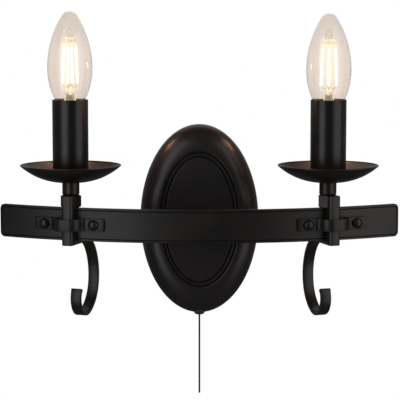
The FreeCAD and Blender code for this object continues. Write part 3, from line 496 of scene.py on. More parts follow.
@dataclass(frozen=True)
class LitGlass(Finish):
    """Thin blown glass, faintly grey, with a painted glow for the warm light of the filaments in
    it.
    """

    tint: Colour = (0.86, 0.805, 0.757)
    low: float = 100 * MM
    high: float = 165 * MM
    # glow and halo are painted light: emission of the glass that stands for the filaments' light in
    # it
    glow: Stops = (
        (0.00, (0.0, 0.0, 0.0)), (0.22, (0.012, 0.006, 0.004)), (0.55, (0.020, 0.012, 0.010)),
        (0.80, (0.006, 0.003, 0.002)), (1.00, (0.0, 0.0, 0.0)))
    roughness: float = 0.0
    wave_size: float = 14 * MM
    wave_depth: float = 0.05 * MM
    halo: Colour = (0.085, 0.082, 0.058)
    axis: float = 100.71 * MM
    halo_width: float = 8 * MM
    # rim is a painted dark outline where the glass turns away from the eye
    rim: Colour = (0.42, 0.38, 0.34)
    rim_start: float = 0.70

    def paint(self, tree: Tree) -> None:
        """Clear body, painted darker where it turns away, soft waves and a painted glow round the
        filaments.

        Args:
            tree: the material's empty tree.
        """
        waves = tree.noise(self.wave_size, detail=1.0)
        spot = tree.parts(tree.place())
        height = spot["Z"].between(self.low, self.high)
        aside = (spot["X"] ** 2) ** 0.5 - self.axis
        near = 1 - (aside ** 2).between(0.0, self.halo_width ** 2)
        lit = height.between(0.0, 0.3) * (1 - height.between(0.6, 0.75)) * near
        # painted glow: emission brightest round the filaments at their height
        glow = tree.blend(lit, tree.ramp(height, self.glow), self.halo)
        clear = tree.blend(waves.between(0.3, 0.7), self.tint, darker(self.tint, 0.012))
        # painted dark outline at the silhouette
        grazing = tree.facing(0.5).between(self.rim_start, 1.0)
        tree.surface({
            "Base Color": tree.blend(grazing, clear, self.rim),
            "Roughness": self.roughness, "Transmission Weight": 1.0, "IOR": 1.45,
            "Emission Color": glow, "Emission Strength": 1.0,
            "Normal": tree.bump(waves, self.wave_depth, 0.3)})


@dataclass(frozen=True)
class Glowing(Finish):
    """Phosphor coat that shines."""

    glow: Colour = (1.0, 0.98, 0.88)
    edge: Colour = (0.96, 0.92, 0.66)
    strength: float = 1.15
    chip_size: float = 1.1 * MM

    def paint(self, tree: Tree) -> None:
        """Bright middle that yellows where it turns away, with a faint row of chips.

        Args:
            tree: the material's empty tree.
        """
        chips = tree.noise(self.chip_size, tree.place((0.2, 0.2, 1.0)), 0.0).between(0.3, 0.7)
        middle = tree.blend(chips, self.glow, mixed(self.glow, self.edge, 0.3))
        colour = tree.blend(tree.facing(0.45), middle, self.edge)
        tree.surface({"Base Color": colour, "Roughness": 0.45, "Emission Color": colour,
                      "Emission Strength": self.strength})


@dataclass(frozen=True)
class Braid(Finish):
    """Fine braided cord."""

    colour: Colour = (0.008, 0.008, 0.008)
    thread: Colour = (0.016, 0.015, 0.015)
    centre: Tuple[float, float] = (0.0, 0.0)
    pitch: float = 1.1 * MM
    strands: float = 4.0
    relief: float = 0.006 * MM

    def paint(self, tree: Tree) -> None:
        """Two crossing sets of threads.

        Args:
            tree: the material's empty tree.
        """
        here, turn = tree.around(self.centre)
        around, climb = turn * self.strands, here["Z"] * (2 * math.pi / self.pitch)
        weave = ((around + climb).sine() * (around - climb).sine()).between(-1.0, 1.0)
        tree.surface({
            "Base Color": tree.blend(weave, self.colour, self.thread),
            "Roughness": 0.85 - 0.1 * weave, "Specular IOR Level": 0.2,
            "Normal": tree.bump(weave, self.relief)})


@dataclass(frozen=True)
class Ground(Finish):
    """Plain floor, pale to the eye and through glass, dim where it only throws light back."""

    colour: Colour = (0.80, 0.80, 0.80)
    bounce: Colour = (0.16, 0.16, 0.16)
    backing: Colour = (0.46, 0.46, 0.46)
    mirrored: Colour = (0.02, 0.02, 0.02)
    cloud_size: float = 0.4

    def paint(self, tree: Tree) -> None:
        """Nearly white, with a trace of unevenness and the sconce's own shadow.

        Args:
            tree: the material's empty tree.
        """
        cloud = tree.noise(self.cloud_size).between(0.2, 0.8)
        pale = tree.blend(cloud, self.colour, darker(self.colour, 0.03))
        seen, glossy = tree.rays()
        glow = tree.blend(glossy, (0.0, 0.0, 0.0), self.mirrored)
        tree.surface({"Base Color": tree.blend(seen, self.bounce, pale), "Roughness": 0.8,
                      "Emission Color": tree.blend(seen, glow, self.backing),
                      "Emission Strength": 1.0})


SATIN = SatinBlack("satin_coat")
# the plate's coat is painted lighter than the rest: painted light for the surroundings that its
# flat reflects
PLATE_COAT_PAINTED_LIGHT = SatinBlack("satin_coat_pressed", deep=(0.0165, 0.0153, 0.0157),
                     warm=(0.0270, 0.0205, 0.0180), roughness=0.33)
ROLLED = SatinBlack("satin_coat_rolled", roughness=0.40, grain=Grain.ALONG_X)
DRAWN = SatinBlack("satin_coat_drawn", warm=(0.0210, 0.0140, 0.0105), roughness=0.30,
                   grain=Grain.ALONG_Z)
SPUN = SatinBlack("satin_coat_spun", warm=(0.0240, 0.0150, 0.0110), grain=Grain.RINGS,
                  grain_depth=0.02 * MM)
FORGED = SatinBlack("satin_coat_forged", deep=(0.0085, 0.0066, 0.0058),
                    warm=(0.0280, 0.0180, 0.0130), grain=Grain.ALONG_Z, grain_depth=0.05 * MM)
ZINC = BareMetal("bright_zinc")
BRASS = BareMetal("turned_brass", (0.72, 0.52, 0.24), (0.50, 0.34, 0.14), 0.26)
NICKEL = BareMetal("lamp_cap_nickel", (0.66, 0.64, 0.60), (0.48, 0.46, 0.43), 0.24)
WIRE = BareMetal("filament_wire", (0.80, 0.76, 0.66), (0.62, 0.58, 0.48), 0.30)
PHENOLIC = Moulding("black_phenolic", (0.022, 0.021, 0.020), 0.38)
BLACK_PLASTIC = Moulding("black_moulding", (0.016, 0.016, 0.017), 0.45)
WHITE_NYLON = Moulding("natural_nylon", (0.72, 0.71, 0.66), 0.48)
GLASS = LitGlass("blown_glass")
# the stem's glass takes a painted glow, brightest at its foot
STEM_GLASS = LitGlass(
    "stem_glass", tint=(0.97, 0.94, 0.87), low=94 * MM, high=112 * MM, roughness=0.04,
    glow=((0.0, (0.62, 0.50, 0.32)), (0.6, (0.36, 0.29, 0.18)), (1.0, (0.10, 0.08, 0.05))))
FILAMENT = Glowing("glowing_filament")
# glowing coat of the filament ends, also used as a painted glow on the cross ties
END_COAT_AND_TIE_GLOW = Glowing("filament_end_coat", glow=(0.76, 0.74, 0.54), edge=(0.62, 0.60, 0.40),
                  strength=0.78)
BY_SLOT: Dict[str, Finish] = {
    "satin_black": SATIN, "zinc_steel": ZINC, "brass": BRASS, "nickel": NICKEL,
    "phenolic": PHENOLIC, "white_nylon": WHITE_NYLON, "black_plastic": BLACK_PLASTIC,
    "clear_glass": GLASS, "led_filament": FILAMENT,
}
SLOT_OF: Dict[str, str] = {
    part["node"]: part["material_slot"] for part in frame["record"]["subparts"]}


# ---------------------------------------------------------------- workbench

class Bench:
    """One mesh being shaped in edit mode with Blender's modelling operators."""

    def __init__(self, name: str, start: Callable[..., object], **settings: object) -> None:
        """Adds a primitive and opens it.

        Args:
            name: the piece's name.
            start: the operator that adds the primitive.
            settings: the operator's size and place.
        """
        bpy.ops.object.select_all(action="DESELECT")
        start(**settings)
        self.piece = bpy.context.object
        self.piece.name = self.piece.data.name = name
        bpy.ops.object.transform_apply(location=True, rotation=True, scale=True)
        bpy.ops.object.mode_set(mode="EDIT")
        bpy.ops.mesh.select_mode(type="VERT")
        bpy.ops.mesh.select_all(action="SELECT")

    @classmethod
    def drawn(cls, name: str, points: Sequence[Point]) -> "Bench":
        """One corner extruded from point to point.

        Args:
            name: the piece's name.
            points: where the line starts, turns and ends.

        Returns:
            The bench, with the whole line selected.
        """
        bench = cls(name, bpy.ops.mesh.primitive_plane_add, size=MM)
        bpy.ops.mesh.merge(type="CENTER")
        bpy.ops.transform.translate(value=points[0])
        for before, after in zip(points, points[1:]):
            bench.extrude(Vector(after) - Vector(before))
        bpy.ops.mesh.select_all(action="SELECT")
        return bench

    @classmethod
    def block(cls, name: str, size: Point, middle: Point) -> "Bench":
        """A box to be cut, bevelled and extruded.

        Args:
            name: the piece's name.
            size: its three lengths.
            middle: its centre.

        Returns:
            The bench with the box.
        """
        bench = cls(name, bpy.ops.mesh.primitive_cube_add, size=1.0, location=middle)
        bpy.ops.transform.resize(value=size, center_override=middle)
        return bench

    @classmethod
    def wire(cls, name: str, points: Sequence[Point], radius: float) -> "Bench":
        """A round wire along a line.

        Args:
            name: the piece's name.
            points: where the wire starts, turns and ends.
            radius: half its thickness.

        Returns:
            The bench, with the wire's welded mesh.
        """
        bench = cls.drawn(name, points)
        bpy.ops.object.mode_set(mode="OBJECT")
        bpy.ops.object.convert(target="CURVE")
        line = bpy.context.object
        line.data.bevel_depth = radius
        line.data.bevel_resolution = 3
        line.data.use_fill_caps = True
        bpy.ops.object.convert(target="MESH")
        bench.piece = bpy.context.object
        bpy.ops.object.mode_set(mode="EDIT")
        return bench.weld()

    def pick(self, kind: Pick, wanted: Callable[..., bool]) -> "Bench":
        """Selects only the elements that pass a test.

        Args:
            kind: corners, edges or faces.
            wanted: the test, given one element.

        Returns:
            This bench.
        """
        bpy.ops.mesh.select_mode(type=kind.value)
        bpy.ops.mesh.select_all(action="DESELECT")
        mesh = bmesh.from_edit_mesh(self.piece.data)
        elements = {Pick.CORNER: mesh.verts, Pick.EDGE: mesh.edges, Pick.FACE: mesh.faces}[kind]
        for element in filter(wanted, elements):
            element.select_set(True)
        bmesh.update_edit_mesh(self.piece.data)
        return self

    def extrude(self, move: Point) -> "Bench":
        """Extrudes what is selected."""
        bpy.ops.mesh.extrude_region_move(
            TRANSFORM_OT_translate={"value": tuple(move), "orient_type": "GLOBAL"})
        return self

    def resize(self, scale: Point, centre: Point) -> "Bench":
        """Scales what is selected about a point."""
        bpy.ops.transform.resize(value=scale, center_override=centre)
        return self

    def bend(self, degrees: float, centre: Point, axis: Point, steps: int) -> "Bench":
        """Sweeps what is selected round an axis, by the right-hand rule."""
        bpy.ops.mesh.spin(steps=steps, angle=-math.radians(degrees), center=centre, axis=axis)
        return self

    def bevel(self, width: float, segments: int = 1) -> "Bench":
        """Bevels the selected edges."""
        bpy.ops.mesh.bevel(offset=width, segments=segments, affect="EDGES")
        return self

    def slices(self, axis: int, low: float, high: float, count: int) -> "Bench":
        """Cuts the mesh across one axis at even steps.

        Args:
            axis: 0 for X, 1 for Y, 2 for Z.
            low: place of the first cut.
            high: place of the last cut.
            count: steps between them.

        Returns:
            This bench.
        """
        normal = [float(i == axis) for i in range(3)]
        for number in range(count + 1):
            bpy.ops.mesh.select_all(action="SELECT")
            place = low + (high - low) * number / count
            bpy.ops.mesh.bisect(plane_co=[place * n for n in normal], plane_no=normal)
        return self

    def weld(self) -> "Bench":
        """Merges doubled corners and turns the faces outwards.

        Returns:
            This bench.
        """
        bpy.ops.mesh.select_all(action="SELECT")
        bpy.ops.mesh.remove_doubles(threshold=WELD)
        bpy.ops.mesh.normals_make_consistent(inside=False)
        return self

    def modify(self, kind: str, **settings: object) -> "Bench":
        """Adds a modifier and applies it.

        Args:
            kind: the modifier's type.
            settings: its properties.

        Returns:
            This bench.
        """
        bpy.ops.object.mode_set(mode="OBJECT")
        modifier = self.piece.modifiers.new(kind.lower(), kind)
        for name, setting in settings.items():
            setattr(modifier, name, setting)
        bpy.ops.object.modifier_apply(modifier=modifier.name)
        bpy.ops.object.mode_set(mode="EDIT")
        return self

    def ease(self, width: float, segments: int = 2, angle: float = 35.0) -> "Bench":
        """Rounds every edge that is sharper than angle, in degrees."""
        return self.modify("BEVEL", width=width, segments=segments, limit_method="ANGLE",
                           angle_limit=math.radians(angle))

    def done(self, place: Optional[Matrix] = None, shade: Shade = Shade.PLAIN) -> Object:
        """Leaves edit mode, moves the mesh to its place and shades it.

        Args:
            place: the local frame's place in the sconce.
            shade: which faces are shaded as one.

        Returns:
            The piece, with its object at the origin.
        """
        bpy.ops.object.mode_set(mode="OBJECT")
        self.piece.matrix_world = place or Matrix()
        bpy.ops.object.transform_apply(location=True, rotation=True, scale=True)
        bpy.ops.object.shade_smooth_by_angle(angle=math.radians(shade.value))
        return self.piece


def turned(name: str, outline: Outline, place: Optional[Matrix] = None, steps: int = 96,
           shade: Shade = Shade.TURNED) -> Object:
    """A piece turned on a lathe: an outline spun about local Z.

    Args:
        name: the piece's name.
        outline: (radius, height) points from one end of the section to the other.
        place: the local frame's place in the sconce.
        steps: facets round the axis.
        shade: which faces are shaded as one.

    Returns:
        The piece, welded, its faces pointing outwards.
    """
    bench = Bench.drawn(name, [(radius, 0.0, height) for radius, height in outline])
    return bench.bend(360.0, (0, 0, 0), (0, 0, 1), steps).weld().done(place, shade)


# ---------------------------------------------------------------- shapes in common

def bowed(start: Tuple[float, float], end: Tuple[float, float], radius: float,
          steps: int = 16) -> Outline:
    """Arc between two points of an outline.

    Args:
        start: first point, which is in the result.
        end: last point, which is in it too.
        radius: positive where the centre lies to the left of the run, negative to the right.
        steps: how many lengths the arc is cut into.

    Returns:
        The arc's points.
    """
    first, last = Vector(start), Vector(end)
    run = last - first
    aside = Vector((-run.y, run.x)).normalized() * math.copysign(1.0, radius)
    centre = (first + last) / 2 + aside * math.sqrt(radius ** 2 - run.length_squared / 4)
    opening = (first - centre).angle_signed(last - centre)
    spots = []
    for number in range(steps + 1):
        reach = first - centre
        reach.rotate(Matrix.Rotation(-opening * number / steps, 2))
        spots.append(tuple(centre + reach))
    return spots


def eased(corners: Corners, steps: int = 4) -> Outline:
    """Outline whose corners are rounded off.

    Args:
        corners: the outline's corners, each with the length of its rounding, 0 for a sharp one.
        steps: how many lengths each rounding is cut into.

    Returns:
        The outline's points.
    """
    spots: Outline = []
    for number, (x, z, ease) in enumerate(corners):
        corner = Vector((x, z))
        if not ease or number in (0, len(corners) - 1):
            spots.append((x, z))
            continue
        before = Vector(corners[number - 1][:2]) - corner
        after = Vector(corners[number + 1][:2]) - corner
        first, last = corner + before.normalized() * ease, corner + after.normalized() * ease
        for step in range(steps + 1):
            t = step / steps
            spots.append(tuple(first * (1 - t) ** 2 + corner * (2 * t * (1 - t)) + last * t * t))
    return spots


def millimetres(outline: Outline) -> Outline:
    """An outline given in millimetres, in metres."""
    return [(x * MM, z * MM) for x, z in outline]


def turn_about_z(degrees: float) -> Matrix:
    """Turn about an upright axis."""
    return Matrix.Rotation(math.radians(degrees), 4, "Z")


OUTWARD = Matrix.Rotation(math.radians(90.0), 4, "X")  # turns local Z towards the room
NUT_FACE = 0.48  # radius of a nut's end face, as a share of its width across the flats


def fit(piece: Object, node: Optional[str], finish: Finish) -> Object:
    """Dresses a finished piece of the lamp and lets it stand for a CAD node.

    Args:
        piece: the piece, in its place.
        node: the node that it replaces, if there is one.
        finish: its finish.

    Returns:
        The piece.
    """
    finish.dress(piece)
    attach(piece, LAMP_BODY)
    if node is not None:
        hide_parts(node)
    return piece


def copied(piece: Object, name: str, place: Matrix) -> Object:
    """A copy of a finished piece.

    Args:
        piece: what is copied.
        name: the copy's name.
        place: where it goes.

    Returns:
        The copy, with its own mesh.
    """
    twin = piece.copy()
    twin.data = piece.data.copy()
    twin.name = twin.data.name = name
    twin.data.transform(place)
    bpy.context.scene.collection.objects.link(twin)
    return twin


def joined(name: str, pieces: Sequence[Object]) -> Object:
    """Several finished pieces made into one.

    Args:
        name: the new piece's name.
        pieces: what is joined, all used up.

    Returns:
        The one piece.
    """
    bpy.ops.object.select_all(action="DESELECT")
    for piece in pieces:
        piece.select_set(True)
    bpy.context.view_layer.objects.active = pieces[0]
    bpy.ops.object.join()
    pieces[0].name = pieces[0].data.name = name
    return pieces[0]


def hexagon_nut(name: str, flats: float, height: float, place: Matrix) -> Object:
    """Hexagon nut with chamfered corners, two of them pointing along local X.

    Args:
        name: the piece's name.
        flats: width across the flats.
        height: length along local Z.
        place: where its lower face's middle stands.

    Returns:
        The nut.
    """
    half_side = math.radians(30.0)
    corner, face = flats / math.sqrt(3.0), NUT_FACE * flats
    slope = (corner - face) * math.tan(half_side)
    lens = turned("chamfer", [(0.0, 0.0), (face, 0.0), (corner, slope), (corner, height - slope),
                              (face, height), (0.0, height)], shade=Shade.PLAIN)
    bench = Bench(name, bpy.ops.mesh.primitive_circle_add, vertices=6, radius=corner,
                  fill_type="NGON", rotation=(0.0, 0.0, half_side))
    bench.extrude((0.0, 0.0, height)).weld()
    bench.modify("BOOLEAN", operation="INTERSECT", object=lens)
    nut = bench.done(place, Shade.FLATS)
    bpy.data.objects.remove(lens)
    return nut


def ridges(radius: float, depth: float, pitch: float, low: float, high: float) -> Outline:
    """Zigzag of a rolled thread.

    Args:
        radius: the crests' radius.
        depth: how far the roots lie under them.
        pitch: length of one turn.
        low: height of the first root.
        high: height where the thread ends.

    Returns:
        The outline's points.
    """
    count = int((high - low) / pitch)
    spots: Outline = []
    for number in range(count):
        base = low + number * pitch
        spots += [(radius - depth, base), (radius, base + pitch * 0.4),
                  (radius, base + pitch * 0.6)]
    return spots + [(radius - depth, low + count * pitch), (radius, high)]


@dataclass(frozen=True)
class BandArc:
    """Circle that the curved band is bent to; all that stands on the band is placed on it."""

    front: float = 310 * MM
    thickness: float = 3 * MM
    height: float = 26.3 * MM
    rise: float = 2 * MM
    half_angle: float = 30.9
    arm_angle: float = 19.15

    @property
    def axis_y(self) -> float:
        """Y of the axis that the band is bent round."""
        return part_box("curved_band")[0].y + self.front

    @property
    def back(self) -> float:
        """Radius of the band's back face."""
        return self.front - self.thickness

    def place(self, radius: float, degrees: float, height: float) -> Matrix:
        """Frame that stands on the band, its -Y pointing radially out of it.

        Args:
            radius: distance from the axis of the bend.
            degrees: angle from the middle, to the right.
            height: its height.

        Returns:
            The frame.
        """
        turn = math.radians(degrees)
        spot = (radius * math.sin(turn), self.axis_y - radius * math.cos(turn), height)
        return Matrix.Translation(spot) @ turn_about_z(degrees)

    def arm(self, side: Side, height: float = 0.0) -> Matrix:
        """Frame on an arm's candle axis."""
        return self.place(self.back, side.value * self.arm_angle, height)


# ---------------------------------------------------------------- wall plate and band

class Ring(NamedTuple):
    """One oval of the pressed plate."""

    half_width: float
    half_height: float
    level: float
    rise: float


@dataclass
class Backplate:
    """Pressed oval plate: quarter-round border, flat with two grooves and a bead between them."""

    half_width: float = 48.1 * MM
    half_height: float = 77.2 * MM
    flat_half_width: float = 32.6 * MM
    flat_half_height: float = 55.4 * MM
    lip: float = 3 * MM
    depth: float = 20 * MM
    wall: float = 2 * MM
    groove_width: float = 2.2 * MM
    groove_depth: float = 1.7 * MM
    groove_pitch: float = 3.3 * MM
    flat_rise: float = 1.2 * MM
    hang: float = 0.5 * MM
    facets: int = 192
    border_steps: int = 18
    groove_steps: int = 10
    field_insets: Tuple[float, ...] = (5.8 * MM, 11 * MM, 19 * MM, 27 * MM)

    def ring(self, share: float, inset: float, level: float) -> Ring:
        """One oval of the plate.

        Args:
            share: its place on the way from the flat to the rim.
            inset: distance inwards from there.
            level: distance from the wall.

        Returns:
            The oval.
        """
        return Ring(
            self.flat_half_width + (self.half_width - self.flat_half_width) * share - inset,
            self.flat_half_height + (self.half_height - self.flat_half_height) * share - inset,
            level, self.flat_rise * (1 - share))

    def border(self, inset: float, steps: int) -> List[Ring]:
        """Ovals of the quarter-round border.

        Args:
            inset: distance inwards from the outer face.
            steps: how many lengths the curve is cut into.

        Returns:
            The ovals, from the lip to the flat.
        """
        turns = [math.pi / 2 * i / steps for i in range(steps + 1)]
        swell = self.depth - self.lip - inset
        return [self.ring(math.cos(t), inset, self.lip + swell * math.sin(t)) for t in turns]

    def grooves(self) -> List[Ring]:
        """Ovals of the two pressed grooves.

        Returns:
            The ovals, from the outer groove to the inner.
        """
        found = []
        for start in (0.0, self.groove_pitch):
            for step in range(1, self.groove_steps + 1):
                share = step / self.groove_steps
                sunk = self.groove_depth * (0.5 - 0.5 * math.cos(2 * math.pi * share))
                found.append(self.ring(0.0, start + self.groove_width * share, self.depth - sunk))
        return found

    def follow(self, bench: Bench, now: Ring, rings: Sequence[Ring]) -> None:
        """Extrudes the selected oval through rings and closes it at its middle.

        Args:
            bench: the plate's mesh, with an oval selected.
            now: that oval.
            rings: the ovals that come after it.
        """
        for after in rings:
            wide, tall = after.half_width / now.half_width, after.half_height / now.half_height
            bench.extrude((0.0, now.level - after.level, after.rise - now.rise))
            bench.resize((wide, 1.0, tall), (0.0, -after.level, after.rise))
            now = after
        bpy.ops.mesh.merge(type="CENTER")

    def build(self) -> List[Object]:
        """Presses the plate.

        Returns:
            The plate.
        """
        bench = Bench("wall_plate_pressing", bpy.ops.mesh.primitive_circle_add,
                      vertices=self.facets, radius=1.0, rotation=(math.radians(90.0), 0.0, 0.0))
        rim = self.ring(1.0, 0.0, 0.0)
        bench.resize((rim.half_width, 1.0, rim.half_height), (0.0, 0.0, 0.0))
        field_rings = [self.ring(0.0, inset, self.depth) for inset in self.field_insets]
        self.follow(bench, rim, self.border(0.0, self.border_steps) + self.grooves() + field_rings)
        bench.pick(Pick.CORNER, lambda corner: abs(corner.co.y) < NEAR)
        inside = self.border(self.wall, self.border_steps // 2)
        self.follow(bench, rim, [self.ring(1.0, self.wall, 0.0)] + inside)
        place = Matrix.Translation((0.0, 0.0, -self.hang))
        return [fit(bench.weld().done(place, Shade.TURNED), "backplate", PLATE_COAT_PAINTED_LIGHT)]


@dataclass
class CurvedBand:
    """Flat bar with rounded ends and a creased rim, bent to an arc in front of the plate."""

    arc: BandArc
    corner: float = 4 * MM
    edge: float = 0.45 * MM
    margin: float = 1.1 * MM
    crease: float = 0.45 * MM
    cuts: int = 96

    def build(self) -> List[Object]:
        """Shapes the bar flat, then bends it.

        Returns:
            The band.
        """
        middle = self.arc.front - self.arc.thickness / 2
        length = 2 * math.radians(self.arc.half_angle) * middle
        size = (length, self.arc.thickness, self.arc.height)
        bench = Bench.block("bent_band", size, (0.0, 0.0, 0.0))
        bench.pick(Pick.EDGE, lambda edge: abs(edge.verts[0].co.y - edge.verts[1].co.y) > MM)
        bench.bevel(self.corner, 6)
        bench.ease(self.edge, 3)
        bench.pick(Pick.FACE, lambda face: face.normal.y < -0.99)
        crease = self.crease
        for width, depth in ((self.margin, 0.0), (crease, -crease), (crease, crease)):
            bpy.ops.mesh.inset(thickness=width, depth=depth)
        reach = length / 2 - 1.5 * self.corner
        bench.slices(0, -reach, reach, self.cuts)
        bench.modify("SIMPLE_DEFORM", deform_method="BEND", deform_axis="Z",
                     angle=math.radians(2 * self.arc.half_angle))
        place = self.arc.place(middle, 0.0, self.arc.rise)
        return [fit(bench.weld().done(place, Shade.FLATS), "curved_band", ROLLED)]


# ---------------------------------------------------------------- arms

@dataclass
class Arm:
    """Upright bar in front of the band, drawn out under it into a foot and a scroll."""

    arc: BandArc
    side: Side
    width: float = 9 * MM
    depth: float = 9.5 * MM
    chamfer: float = 1.5 * MM
    offset: float = 1.3 * MM
    top: float = 24.75 * MM
    strap: float = 3 * MM
    foot_back: float = 17.5 * MM
    edge: float = 0.4 * MM
    taper: float = 0.9556
    tapered_bends: int = 2
    flare: float = 1.018
    flare_steps: int = 4
    step: float = 4.5
    bends: Spots = (
        (21.5 * MM, -54.0), (37.5 * MM, -47.0), (28.0 * MM, -58.5), (13.5 * MM, -145.0))

    def scroll(self, bench: Bench, start: Vector) -> None:
        """Sweeps the selected end of the strap through the bends.

        Args:
            bench: the arm's mesh, with the end face selected.
            start: the middle of that face, as (Y, Z).
        """
        heading, point = 0.0, start
        counts = [math.ceil(abs(turn) / self.step) for radius, turn in self.bends]
        narrow = self.taper ** (1.0 / sum(counts[:self.tapered_bends]))
        for number, ((radius, turn), count) in enumerate(zip(self.bends, counts)):
            centre = point + Vector((math.sin(heading), -math.cos(heading))) * radius
            pivot = (self.offset, centre.x, centre.y)
            for step in range(count):
                bench.bend(turn / count, pivot, (1.0, 0.0, 0.0), 1)
                wide = narrow if number < self.tapered_bends else 1.0
                if number == len(counts) - 1 and step >= count - self.flare_steps:
                    wide = self.flare
                bench.resize((wide, 1.0, 1.0), pivot)
            heading += math.radians(turn)
            point = centre - Vector((math.sin(heading), -math.cos(heading))) * radius

    def build(self) -> List[Object]:
        """Forges the bar, its foot and its scroll in one mesh.

        Returns:
            The arm.
        """
        foot_top = self.arc.rise - self.arc.height / 2
        low, back = foot_top - self.strap, -self.arc.thickness
        front = back - self.depth
        bench = Bench.block(f"forged_arm_{self.side.word}",
                            (self.width, self.depth, self.top - low),
                            (self.offset, (front + back) / 2, (self.top + low) / 2))
        bench.pick(Pick.EDGE, lambda edge: abs(edge.verts[0].co.z - edge.verts[1].co.z) > MM
                   and all(abs(corner.co.y - front) < NEAR for corner in edge.verts))
        bench.bevel(self.chamfer)
        bpy.ops.mesh.select_all(action="SELECT")
        bpy.ops.mesh.bisect(plane_co=(0.0, 0.0, foot_top), plane_no=(0.0, 0.0, 1.0))
        bench.pick(Pick.FACE, lambda face: (
            face.normal.y > 0.9 and face.calc_center_median().z < foot_top))
        bench.extrude((0.0, self.foot_back - back, 0.0))
        self.scroll(bench, Vector((self.foot_back, foot_top - self.strap / 2)))
        bench.weld().ease(self.edge)
        return [fit(bench.done(self.arc.arm(self.side), Shade.FORGED),
                    f"arm_scroll_{self.side.word}", FORGED)]


@dataclass
class SaddleClip:
    """Strap bent over the bar in two S bends, held to the band by two domed bolts."""

    arc: BandArc
    side: Side
    arm: Arm
    thickness: float = 2 * MM
    height: float = 9.5 * MM
    half_length: float = 29.2 * MM
    shift: float = 1.5 * MM
    over_bar: float = 0.35 * MM
    flat: float = 2.5 * MM
    upper_bend: float = 7 * MM
    toe_bend: float = 6 * MM
    bolt_offset: float = 20.6 * MM
    edge: float = 0.3 * MM
    shank: float = 2 * MM
    head: float = 4.2 * MM
    head_height: float = 3.7 * MM
    head_seat: float = 0.82
    head_waist: float = 0.25
    thread_depth: float = 0.25 * MM
    thread_pitch: float = 0.7 * MM
    thread_end: float = -3.0 * MM
    nut_flats: float = 7 * MM
    nut_height: float = 3.2 * MM
    nut_gap: float = 0.02 * MM

    def angle(self, along: float = 0.0) -> float:
        """Angle on the band of a place on the clip, along from its middle."""
        arc = (self.arm.offset + self.side.value * self.shift + along) / self.arc.front
        return self.side.value * self.arc.arm_angle + math.degrees(arc)

    def strap(self) -> Object:
        """Half the strap is swept from the middle of the bar outwards, then mirrored.

        Returns:
            The bent strap.
        """
        axis = Vector((0.0, self.arc.back))
        under = -(self.arc.thickness + self.arm.depth + self.over_bar)
        upper = Vector((self.flat, under + self.upper_bend))
        # the lower bend touches both the upper bend and the band
        reach = (upper - axis).length
        far, apart = self.arc.front + self.toe_bend, self.upper_bend + self.toe_bend
        along = (reach ** 2 + far ** 2 - apart ** 2) / (2 * reach)
        out = (upper - axis).normalized()
        toe = axis + out * along + Vector((-out.y, out.x)) * math.sqrt(far ** 2 - along ** 2)
        over = math.degrees(Vector((0.0, -1.0)).angle(toe - upper))
        back = math.degrees((upper - toe).angle(axis - toe))
        landing = math.degrees(Vector((0.0, -1.0)).angle(toe - axis))
        ear = math.degrees(self.half_length / self.arc.front) - landing
        bench = Bench(f"saddle_strap_{self.side.word}", bpy.ops.mesh.primitive_plane_add, size=1.0,
                      rotation=(0.0, math.radians(90.0), 0.0))
        bench.resize((1.0, self.thickness, self.height), (0.0, 0.0, 0.0))
        bpy.ops.transform.translate(value=(0.0, under - self.thickness / 2, 0.0))
        bench.extrude((self.flat, 0.0, 0.0))
        bench.bend(over, (*upper, 0.0), (0.0, 0.0, 1.0), 12)
        bench.bend(-back, (*toe, 0.0), (0.0, 0.0, 1.0), 12)
        bench.bend(ear, (*axis, 0.0), (0.0, 0.0, 1.0), 4)
        bench.pick(Pick.FACE, lambda face: all(abs(corner.co.x) < NEAR for corner in face.verts))
        bpy.ops.mesh.delete(type="FACE")
        bench.modify("MIRROR").weld().ease(self.edge)
        place = self.arc.place(self.arc.back, self.angle(), self.arc.rise)
        return bench.done(place, Shade.FORGED)

    def bolt(self) -> Object:
        """Domed bolt, its head's seat at the origin and the head towards local Z.

        Returns:
            The bolt.
        """
        tip = -(self.thickness + self.arc.thickness + self.nut_height + MM)
        thread = ridges(self.shank, self.thread_depth, self.thread_pitch, tip, self.thread_end)
        outline = [(0.0, tip)] + thread
        outline += [(self.shank, 0.0), (self.head_seat * self.head, 0.0)]
        for degrees in range(-18, 90, 6):
            turn = math.radians(degrees)
            share = self.head_waist + (1 - self.head_waist) * math.sin(turn)
            outline.append((self.head * math.cos(turn), self.head_height * share))
        return turned("domed_bolt", outline + [(0.0, self.head_height)], None, 64, Shade.DOMED)

    def build(self) -> List[Object]:
        """Makes the strap, its bolts and their nuts.

        Returns:
            The three pieces.
        """
        word, bolts, nuts = self.side.word, [], []
        pattern = self.bolt()
        for number, along in enumerate((-self.bolt_offset, self.bolt_offset)):
            seat, spot = (
                self.arc.place(radius, self.angle(along), self.arc.rise) @ OUTWARD
                for radius in (self.arc.front + self.thickness,
                               self.arc.back - self.nut_height - self.nut_gap))
            bolts.append(copied(pattern, f"bolt_{number}", seat))
            nuts.append(hexagon_nut(f"nut_{number}", self.nut_flats, self.nut_height, spot))
        bpy.data.objects.remove(pattern)
        return [fit(self.strap(), f"saddle_clip_{word}", ROLLED),
                fit(joined(f"domed_bolts_{word}", bolts), f"clip_bolts_{word}", SATIN),
                fit(joined(f"back_nuts_{word}", nuts), f"clip_nuts_{word}", ZINC)]


# ---------------------------------------------------------------- candles

